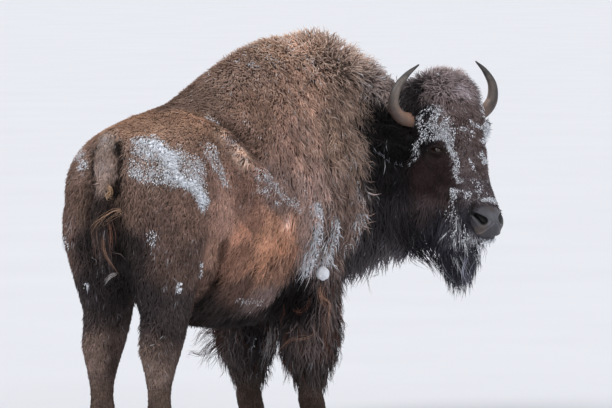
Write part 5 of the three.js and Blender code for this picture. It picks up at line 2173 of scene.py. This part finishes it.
@dataclass(frozen=True)
class Hooves:
    """Eight claws with flat soles: a long oval, narrower ahead, drawn in and set back as it rises."""

    rings: int = 26
    sides: int = 44
    heel: float = 0.41  # share of the length behind the middle
    taper: float = 0.25
    slope: float = 0.22  # how far the toe's front leans back, as a share of the front half
    ring_rise: float = 0.012
    sole_edge: float = 0.05  # how far the sole's edge is rounded

    def build(self, material: bpy.types.Material) -> None:
        """Makes each claw inside its node's box.

        Args:
            material: Their finish.
        """
        v, angle = np.linspace(0, 1, self.rings)[:, None], circle(self.sides)[None]
        along, across = np.cos(angle), np.sin(angle)
        rise = self.ring_rise * np.sin(ROUND * 9 * v) * ramp(v, 0.1, 0.3)
        share = 1 - 0.10 * v - 0.10 * v**3 + rise - self.sole_edge * (1 - ramp(v, 0.0, 0.05))
        ahead = (1 - self.heel) * (1 - self.slope * v)
        for name in (n for n in sorted(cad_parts) if n.startswith("hoof")):
            low, high = box_of(name)
            length, half, tall = high[0] - low[0], (high[1] - low[1]) / 2, high[2] - low[2]
            reach = length * np.where(along > 0, ahead, self.heel) * share
            x = low[0] + length * self.heel - 0.010 * v + reach * np.sign(along) * np.abs(along) ** 0.92
            y = (low[1] + high[1]) / 2 + half * share * across * (1 - self.taper * np.maximum(along, 0))
            z = low[2] + tall * v - 0.012 * v * np.maximum(-along, 0)
            mesh = tube(np.stack([x, y, z + 0 * x], -1)).mesh(f"claw{name[4:]}")
            put_values(mesh, "along", np.clip((points_of(mesh)[:, 2] - low[2]) / tall, 0, 1))
            piece(f"claw{name[4:]}", mesh, material, (name,))


# ---------------------------------------------------------------- snow and loose hair


def icosphere(level: int) -> tuple[Array, Array]:
    """A ball of radius 1 made of even triangles.

    Args:
        level: How many times the triangles are parted.

    Returns:
        Its points and its faces.
    """
    work = bmesh.new()
    bmesh.ops.create_icosphere(work, subdivisions=level, radius=1)
    made = np.array([v.co for v in work.verts]), np.array([[v.index for v in f.verts] for f in work.faces])
    work.free()
    return made


@dataclass(frozen=True)
class SnowClumps:
    """Snow and rime caught in the coat: seeded crumbs with bumpy sides among the tips of the hair.

    A crumb is a twenty-sided ball, each point of which is moved in or out by chance, drawn out along the
    hair it hangs on.
    """

    count: int = 9600
    seed: int = 5
    size: float = 0.0012
    smallest: float = 0.0006
    largest: float = 0.0029

    BALL = (1.118, -0.290, 0.648)
    BALL_RADIUS = 0.026
    BALL_BUMPS = [(0.10, 0.010, 90), (0.08, 0.024, 91)]

    def build(self, roots: Roots, material: bpy.types.Material) -> None:
        """Makes the crumbs where the coat is frosted, and one ball of snow on the shoulder's hair.

        Args:
            roots: The coat's roots.
            material: The snow's finish.
        """
        rng, count = np.random.default_rng(self.seed), self.count
        frost, long, width = roots.frost, roots.hairs.length, roots.hairs.width
        patchy = ramp(clouds(roots.place, [(1, 0.009, 31), (0.5, 0.03, 32)]), -0.9, 0.8)
        chance = ramp(frost, 0.26, 1.0) ** 1.4 * (patchy + ramp(frost, 0.85, 1)) * long * width
        chance *= (1 - 0.85 * ramp(long, 0.045, 0.085)) * (1.7 - 0.7 * ramp(long, 0.02, 0.03))
        on = roots.only(rng.choice(len(frost), count, replace=False, p=chance / chance.sum()))
        size = np.clip(self.size * np.exp(rng.normal(0, 0.38, count)), self.smallest, self.largest)
        size *= (1 + 1.4 * ramp(on.frost, 0.85, 1.0)) * (0.55 + 0.45 * ramp(on.hairs.length, 0.014, 0.032))
        out = np.minimum(on.hairs.depth * rng.uniform(0.6, 1.2, count) + 0.001, 0.014)
        along = on.hairs.length * rng.uniform(0.2, 0.6, count)
        centres = on.place + on.outward * out[:, None] + on.hairs.lie * along[:, None]
        ball, faces = icosphere(1)
        spread = ball[None] * size[:, None, None] * rng.uniform(0.6, 1.35, (count, len(ball), 1))
        lie = unit(on.hairs.lie + 0.5 * on.outward * rng.uniform(0.2, 1.2, (count, 1)))[:, None]
        drawn = rng.uniform(0.3, 1.9, (count, 1, 1)) * ramp(3.0 * size, 0.0100, 0.0040)[:, None, None]
        spread += lie * (spread * lie).sum(-1, keepdims=True) * drawn
        whole = (np.arange(count)[:, None, None] * len(ball) + faces).reshape(-1, 3)
        crumbs = Shell((centres[:, None] + spread).reshape(-1, 3), [whole])
        large, faces = icosphere(4)
        large = large * self.BALL_RADIUS
        large = large * (1 + clouds(large, self.BALL_BUMPS))[:, None]
        whole = crumbs.joined(Shell(STANCE.place(Home.SPINE, self.BALL) + large, [faces]))
        piece("snow_crumbs", whole.mesh("snow_crumbs"), material)


@dataclass(frozen=True)
class Lock:
    """One loose lock over the coat: its route, spread, number of hairs, their girth, colour and frost."""

    home: Home
    route: tuple[Triple, ...]
    spread: float
    hairs: int
    girth: float
    colour: Triple
    frost: float = 0.0


RUST, DUSK, ASH = (150, 116, 98), (44, 33, 32), (150, 142, 140)
LOCKS = [
    Lock(S, ((1.107, -0.275, 0.605), (1.13, -0.285, 0.56), (1.196, -0.295, 0.53), (1.174, -0.29, 0.47),
        (1.21, -0.29, 0.38)), 0.010, 9, 0.0013, RUST),
    Lock(S, ((1.06, -0.19, 0.515), (1.07, -0.215, 0.495), (1.106, -0.27, 0.575)), 0.009, 7, 0.0013,
        (88, 58, 48)),
    Lock(S, ((1.05, -0.13, 0.335), (1.072, -0.165, 0.381), (1.078, -0.21, 0.387), (1.104, -0.255, 0.403),
        (1.105, -0.265, 0.46)), 0.007, 8, 0.0014, RUST),
    Lock(S, ((1.124, -0.285, 0.614), (1.11, -0.28, 0.55), (1.18, -0.29, 0.50)), 0.010, 7, 0.0013, RUST),
    Lock(S, ((1.20, -0.290, 0.60), (1.16, -0.285, 0.56), (1.19, -0.295, 0.51), (1.23, -0.30, 0.46)), 0.011, 8,
        0.0013, (92, 64, 53)),
    Lock(S, ((1.14, -0.27, 0.50), (1.16, -0.285, 0.42), (1.15, -0.285, 0.33)), 0.016, 12, 0.0014,
        (84, 62, 53)),
    Lock(S, ((-0.012, 0.034, 0.857), (-0.018, 0.004, 0.897), (-0.012, -0.066, 0.946), (-0.006, -0.104, 0.945),
        (-0.014, -0.062, 0.915), (-0.020, 0.028, 0.852)), 0.009, 6, 0.0013, (148, 118, 98)),
    Lock(S, ((-0.014, -0.020, 0.86), (-0.010, -0.024, 0.79), (0.012, -0.045, 0.735), (0.03, -0.066, 0.700)),
        0.009, 8, 0.0012, (120, 92, 76)),
    Lock(S, ((-0.006, 0.035, 0.90), (-0.004, 0.030, 0.82), (0.010, 0.020, 0.72)), 0.014, 10, 0.0012,
        (92, 70, 60)),
    Lock(S, ((-0.004, -0.045, 0.90), (0.0, -0.05, 0.83), (0.018, -0.03, 0.76)), 0.013, 9, 0.0012,
        (98, 68, 56)),
    Lock(S, ((0.02, -0.06, 0.70), (0.03, -0.02, 0.685), (0.04, 0.02, 0.65)), 0.010, 9, 0.0013, ASH, 0.3),
    Lock(S, ((0.0, -0.030, 1.040), (-0.006, -0.055, 1.015), (-0.002, -0.030, 0.995), (0.010, -0.055, 0.985)),
        0.010, 16, 0.0016, (150, 122, 96)),
    Lock(S, ((1.10, 0.165, 0.44), (1.04, 0.20, 0.39), (0.98, 0.235, 0.33)), 0.026, 20, 0.0020, DUSK, 0.1),
    Lock(S, ((1.10, 0.165, 0.39), (1.04, 0.195, 0.34), (1.00, 0.23, 0.275)), 0.024, 20, 0.0020, (64, 44, 38)),
    Lock(S, ((1.11, 0.17, 0.35), (1.06, 0.20, 0.30), (1.03, 0.22, 0.25)), 0.022, 16, 0.0020, DUSK),
    Lock(S, ((1.09, 0.17, 0.37), (1.04, 0.20, 0.355), (1.00, 0.215, 0.315), (0.96, 0.235, 0.325),
        (0.93, 0.24, 0.29)), 0.016, 12, 0.0019, (58, 38, 32)),
    Lock(S, ((1.10, 0.17, 0.43), (1.05, 0.20, 0.40), (1.01, 0.21, 0.40), (0.97, 0.22, 0.36),
        (0.95, 0.23, 0.365)), 0.016, 12, 0.0019, (72, 46, 37)),
    Lock(S, ((1.08, 0.15, 0.46), (1.01, 0.17, 0.43), (0.95, 0.20, 0.385)), 0.024, 16, 0.0020, (64, 44, 38),
        0.15),
    Lock(S, ((1.239, 0.035, 0.46), (1.231, 0.030, 0.37), (1.224, 0.045, 0.27)), 0.022, 20, 0.0020, ASH, 0.4),
    Lock(S, ((1.216, 0.035, 0.40), (1.21, 0.055, 0.33), (1.20, 0.07, 0.25)), 0.022, 18, 0.0020, ASH, 0.3),
    Lock(S, ((1.84, -0.05, 0.735), (1.90, -0.075, 0.69), (1.97, -0.075, 0.62)), 0.020, 26, 0.0026,
        (26, 25, 29)),
    Lock(S, ((1.88, -0.06, 0.75), (1.94, -0.080, 0.69), (2.00, -0.065, 0.60)), 0.018, 26, 0.0026,
        (24, 23, 28)),
    Lock(S, ((1.80, -0.06, 0.745), (1.85, -0.075, 0.70), (1.92, -0.075, 0.655)), 0.018, 22, 0.0022,
        (28, 26, 30)),
    Lock(H, ((0.553, -0.080, -0.279), (0.634, -0.066, -0.300), (0.714, -0.020, -0.300)), 0.016, 18, 0.0022,
        (34, 34, 42), 0.25),
    Lock(H, ((0.584, -0.076, -0.195), (0.655, -0.058, -0.216), (0.720, -0.006, -0.250)), 0.014, 18, 0.0022,
        (34, 34, 42), 0.35),
    Lock(H, ((0.602, -0.052, -0.145), (0.660, -0.020, -0.163), (0.700, -0.010, -0.210)), 0.012, 16, 0.0022,
        (40, 40, 48), 0.4),
    Lock(H, ((0.640, -0.052, -0.165), (0.676, -0.050, -0.215), (0.725, -0.035, -0.250)), 0.016, 18, 0.0018,
        (112, 113, 124), 0.3),
    Lock(H, ((0.56, -0.080, -0.24), (0.64, -0.070, -0.255), (0.73, -0.020, -0.285)), 0.018, 20, 0.0024,
        (22, 22, 28), 0.1),
]
RIMED_EAR = [
    (0.132, -0.316, -0.170), (0.146, -0.297, -0.176), (0.162, -0.275, -0.179),
    (0.178, -0.254, -0.178), (0.196, -0.232, -0.172), (0.214, -0.212, -0.164),
]
LOCKS += [
    Lock(
        H, ((x, y, z), (x + 0.009, y + 0.008, z - 0.008), (x + 0.014, y + 0.018, z - 0.016)),
        0.008, 6, 0.0011, (112, 112, 120), 0.4,
    )
    for x, y, z in RIMED_EAR
]
STRAYS = {Patch.CHAPS: 240, Patch.THROAT: 60, Patch.BEARD: 30, Patch.TAIL: 70}


@dataclass(frozen=True)
class LooseLocks:
    """Curled and matted locks that stand clear of the coat, and strays of the long hair.

    Each hair is a tube of three-pointed rings round a curve through the lock's places, each moved by
    chance in spreads. A stray's places are a walk downward whose turns are chance.
    """

    rings: int = 11
    fine: int = 55
    seed: int = 23
    stray_spread: float = 0.006
    stray_girth: float = 0.0015
    stray_frost: float = 0.05
    warm: Triple = (70, 46, 37)
    warm_share: float = 0.3

    def strays(self, roots: Roots, rng: np.random.Generator) -> list[tuple]:
        """Short curling locks of the long-haired patches, by chance.

        Args:
            roots: The coat's roots.
            rng: The source of chance.

        Returns:
            For each its places, spread, number of hairs, girth, colour and frost.
        """
        found, hairs = [], roots.hairs
        for patch, count in STRAYS.items():
            for i in rng.choice(np.flatnonzero(hairs.patch == patch.number), count, replace=False):
                step = hairs.length[i] * rng.uniform(0.16, 0.25)
                start = roots.place[i] + roots.outward[i] * hairs.depth[i] * 0.6
                ways = unit(DOWNWARD * 0.9 + hairs.lie[i] * 0.2 + rng.normal(0, 0.36, (4, 3)))
                ways[0] = unit(ways[0] + roots.outward[i] * 0.6)
                knots = np.vstack([start, start + np.cumsum(ways * step, 0)])
                knots[:, 2] = np.maximum(knots[:, 2], 0.01)
                warm = patch is Patch.CHAPS and rng.random() < self.warm_share
                colour = linear(self.warm) if warm else roots.colour[i]
                number = int(rng.integers(3, 8))
                found.append((knots, self.stray_spread, number, self.stray_girth, colour, self.stray_frost))
        return found

    def build(self, roots: Roots, material: bpy.types.Material) -> None:
        """Makes all the locks as one piece.

        Args:
            roots: The coat's roots.
            material: The hair's finish.
        """
        rng = np.random.default_rng(self.seed)
        made = []
        for lock in LOCKS:
            knots = np.array([STANCE.place(lock.home, at) for at in lock.route])
            made.append((knots, lock.spread, lock.hairs, lock.girth, linear(lock.colour), lock.frost))
        made += self.strays(roots, rng)
        share = np.linspace(0, 1, self.rings)
        along = np.concatenate([np.repeat(0.15 + 0.5 * share, 3), [0.15, 0.65]])
        strip = np.concatenate([np.tile([-0.5, 0, 0.5], self.rings), [0, 0]])
        hairs, values, maps = [], [], []
        for number, (knots, spread, count, girth, colour, frost) in enumerate(made):
            for _ in range(count):
                bent = knots + rng.normal(0, 0.5, 3) * spread + rng.normal(0, 0.4, knots.shape) * spread
                line, _ = curve_through(bent, self.fine)
                first, last = rng.uniform(0, 0.15), rng.uniform(0.75, 1)
                line = line[np.round((first + (last - first) * share) * (self.fine - 1)).astype(int)]
                run = unit(np.gradient(line, axis=0))
                side = unit(np.cross(run, [0.3, 0.2, 1.0]))
                width = girth * rng.uniform(0.7, 1.3) * (0.3 + 0.7 * ramp(share, 0, 0.15))
                width = (width * (1 - 0.92 * share**2) / 2)[:, None, None]
                ring = side[:, None] * np.cos(CORNERS)[None, :, None]
                ring = ring + np.cross(side, run)[:, None] * np.sin(CORNERS)[None, :, None]
                hairs.append(tube(line[:, None] + ring * width))
                rimed = (rng.random() < frost) * 0.55 * (along > 0.3)
                lot, tint = np.full(len(along), rng.random()), np.tile(colour, (len(along), 1))
                values.append(np.column_stack([along, lot, rimed, tint]))
                where = 0.02 + 0.96 * (number + rng.random()) / len(made)
                maps.append(np.stack([where + 0.003 * strip, 0.5 + 0.4 * (along - 0.4)], 1))
        starts = np.arange(len(hairs)) * len(along)
        faces = [np.concatenate([hair.faces[k] + at for hair, at in zip(hairs, starts)]) for k in (0, 1)]
        mesh = Shell(np.vstack([hair.points for hair in hairs]), faces).mesh("loose_locks")
        put_hair(mesh, values, np.vstack(maps)[numbers_of(mesh.loops, "vertex_index")])
        piece("loose_locks", mesh, material)


# ---------------------------------------------------------------- studio


def in_scene(name: str, data: bpy.types.ID, ahead: Array | None = None) -> bpy.types.Object:
    """Puts a thing of the studio in the scene.

    Args:
        name: Its name.
        data: Its mesh, light or camera.
        ahead: The way it looks or shines, if that matters.

    Returns:
        The object.
    """
    made = bpy.data.objects.new(name, data)
    if ahead is not None:
        made.rotation_mode = "QUATERNION"
        made.rotation_quaternion = Vector(ahead).to_track_quat("-Z", "Y")
    bpy.context.scene.collection.objects.link(made)
    return made


@dataclass(frozen=True)
class Studio:
    """A pale floor out to the horizon, a soft sun over the camera's left shoulder, and a pale sky."""

    aim: Triple = (0.0428, -0.0234, 0.927)
    heading: float = 33.0  # degrees from +X that the camera looks along
    dip: float = 3.0
    distance: float = 22.0
    focal: float = 327.4
    floor_radii: tuple[float, ...] = (0.5, 2, 6, 20, 80, 320)
    floor_sides: int = 48
    floor_colour: Triple = (226, 227, 231)
    sky: float = 0.62
    sky_seen: float = 0.86  # by the camera and by gloss
    sky_colour: Triple = (0.96, 0.98, 1.02)
    sun: float = 1.75
    sun_width: float = 34
    fill: float = 0.35
    fill_width: float = 60

    def floor(self) -> None:
        """A flat disc of rings that widen outward."""
        radii, angle = np.array(self.floor_radii)[:, None], circle(self.floor_sides)[None]
        flat = np.stack([radii * np.cos(angle), radii * np.sin(angle), 0 * radii * angle], -1).reshape(-1, 3)
        faces = [walls(len(radii), self.floor_sides), fan(len(flat), 0, self.floor_sides)]
        made = in_scene("floor", Shell(np.vstack([flat, [[0, 0, 0]]]), faces).mesh("floor"))
        g = Graph.finish("floor")
        g.give(Base_Color=g.shade(linear(self.floor_colour), g.grain(0.8, 3, (0.985, 1.015))))
        g.give(Roughness=0.9, Specular_IOR_Level=0.1)
        made.data.materials.append(g.owner)

    @staticmethod
    def lamp(name: str, towards: Array, strength: float, width: float) -> None:
        """A sun.

        Args:
            name: Its name.
            towards: The way its light goes.
            strength: In watts a square metre.
            width: Its width in degrees.
        """
        data = bpy.data.lights.new(name, "SUN")
        data.energy, data.angle = strength, np.radians(width)
        in_scene(name, data, towards)

    def sky_light(self) -> None:
        """A world that lights softly, and that the camera and the gloss see as pale as the far floor."""
        world = bpy.data.worlds.new("sky")
        bpy.context.scene.world = world
        g = Graph(world, "Background")
        path = g.node("LightPath", {}).outputs
        seen = path["Is Camera Ray"]
        for ray in ("Is Glossy Ray", "Is Transmission Ray"):
            seen = g.math("MAXIMUM", seen, path[ray])
        strength = g.math("MULTIPLY_ADD", seen, self.sky_seen - self.sky, self.sky)
        g.give(Color=self.sky_colour, Strength=strength)

    def build(self) -> None:
        """Makes the floor, the lights and the camera."""
        turn, dip = np.radians(self.heading), np.radians(self.dip)
        ahead = np.array([np.cos(turn) * np.cos(dip), np.sin(turn) * np.cos(dip), -np.sin(dip)])
        right = np.array([np.sin(turn), -np.cos(turn), 0])
        self.floor()
        self.sky_light()
        self.lamp("key", ahead * 0.55 + right * 0.55 + DOWNWARD * 0.95, self.sun, self.sun_width)
        self.lamp("fill", ahead * 0.5 - right * 0.9 + DOWNWARD * 0.35, self.fill, self.fill_width)
        data = bpy.data.cameras.new("camera")
        data.lens, data.sensor_width = self.focal, 36
        data.clip_start, data.clip_end = 0.1, 1000
        camera = in_scene("camera", data, ahead)
        camera.location = np.array(self.aim) - ahead * self.distance
        bpy.context.scene.camera = camera
        bpy.context.scene.view_settings.view_transform = "Standard"


def main() -> None:
    """Builds the animal and its studio."""
    logging.basicConfig(level=logging.INFO, format="%(name)s: %(message)s", force=True)
    Studio().build()
    groom, markings, eyes, ears = Groom(LAYS), Markings(MARKS, STROKES), Eyes(), Ears()
    skin = Skin(groom, markings)
    body = skin.build()
    points = points_of(body)
    lids = [eyes.lids(side, points) for side in "lr"]
    body = skin.with_parts(body, [ears.shell(1), ears.shell(-1), *lids])
    skin.dress(body)
    piece("skin", body, HideFinish().material(), (*FLESH, "ear_l", "ear_r"))
    hair = HairFinish().material()
    roots = Coat(groom, markings, skin.underside).build(body, hair)
    LooseLocks().build(roots, hair)
    eyes.build(EyeFinish().material())
    Horns().build(HornFinish().material())
    Hooves().build(HoofFinish().material())
    SnowClumps().build(roots, SnowFinish().material())


if __name__ == "__main__":
    main()
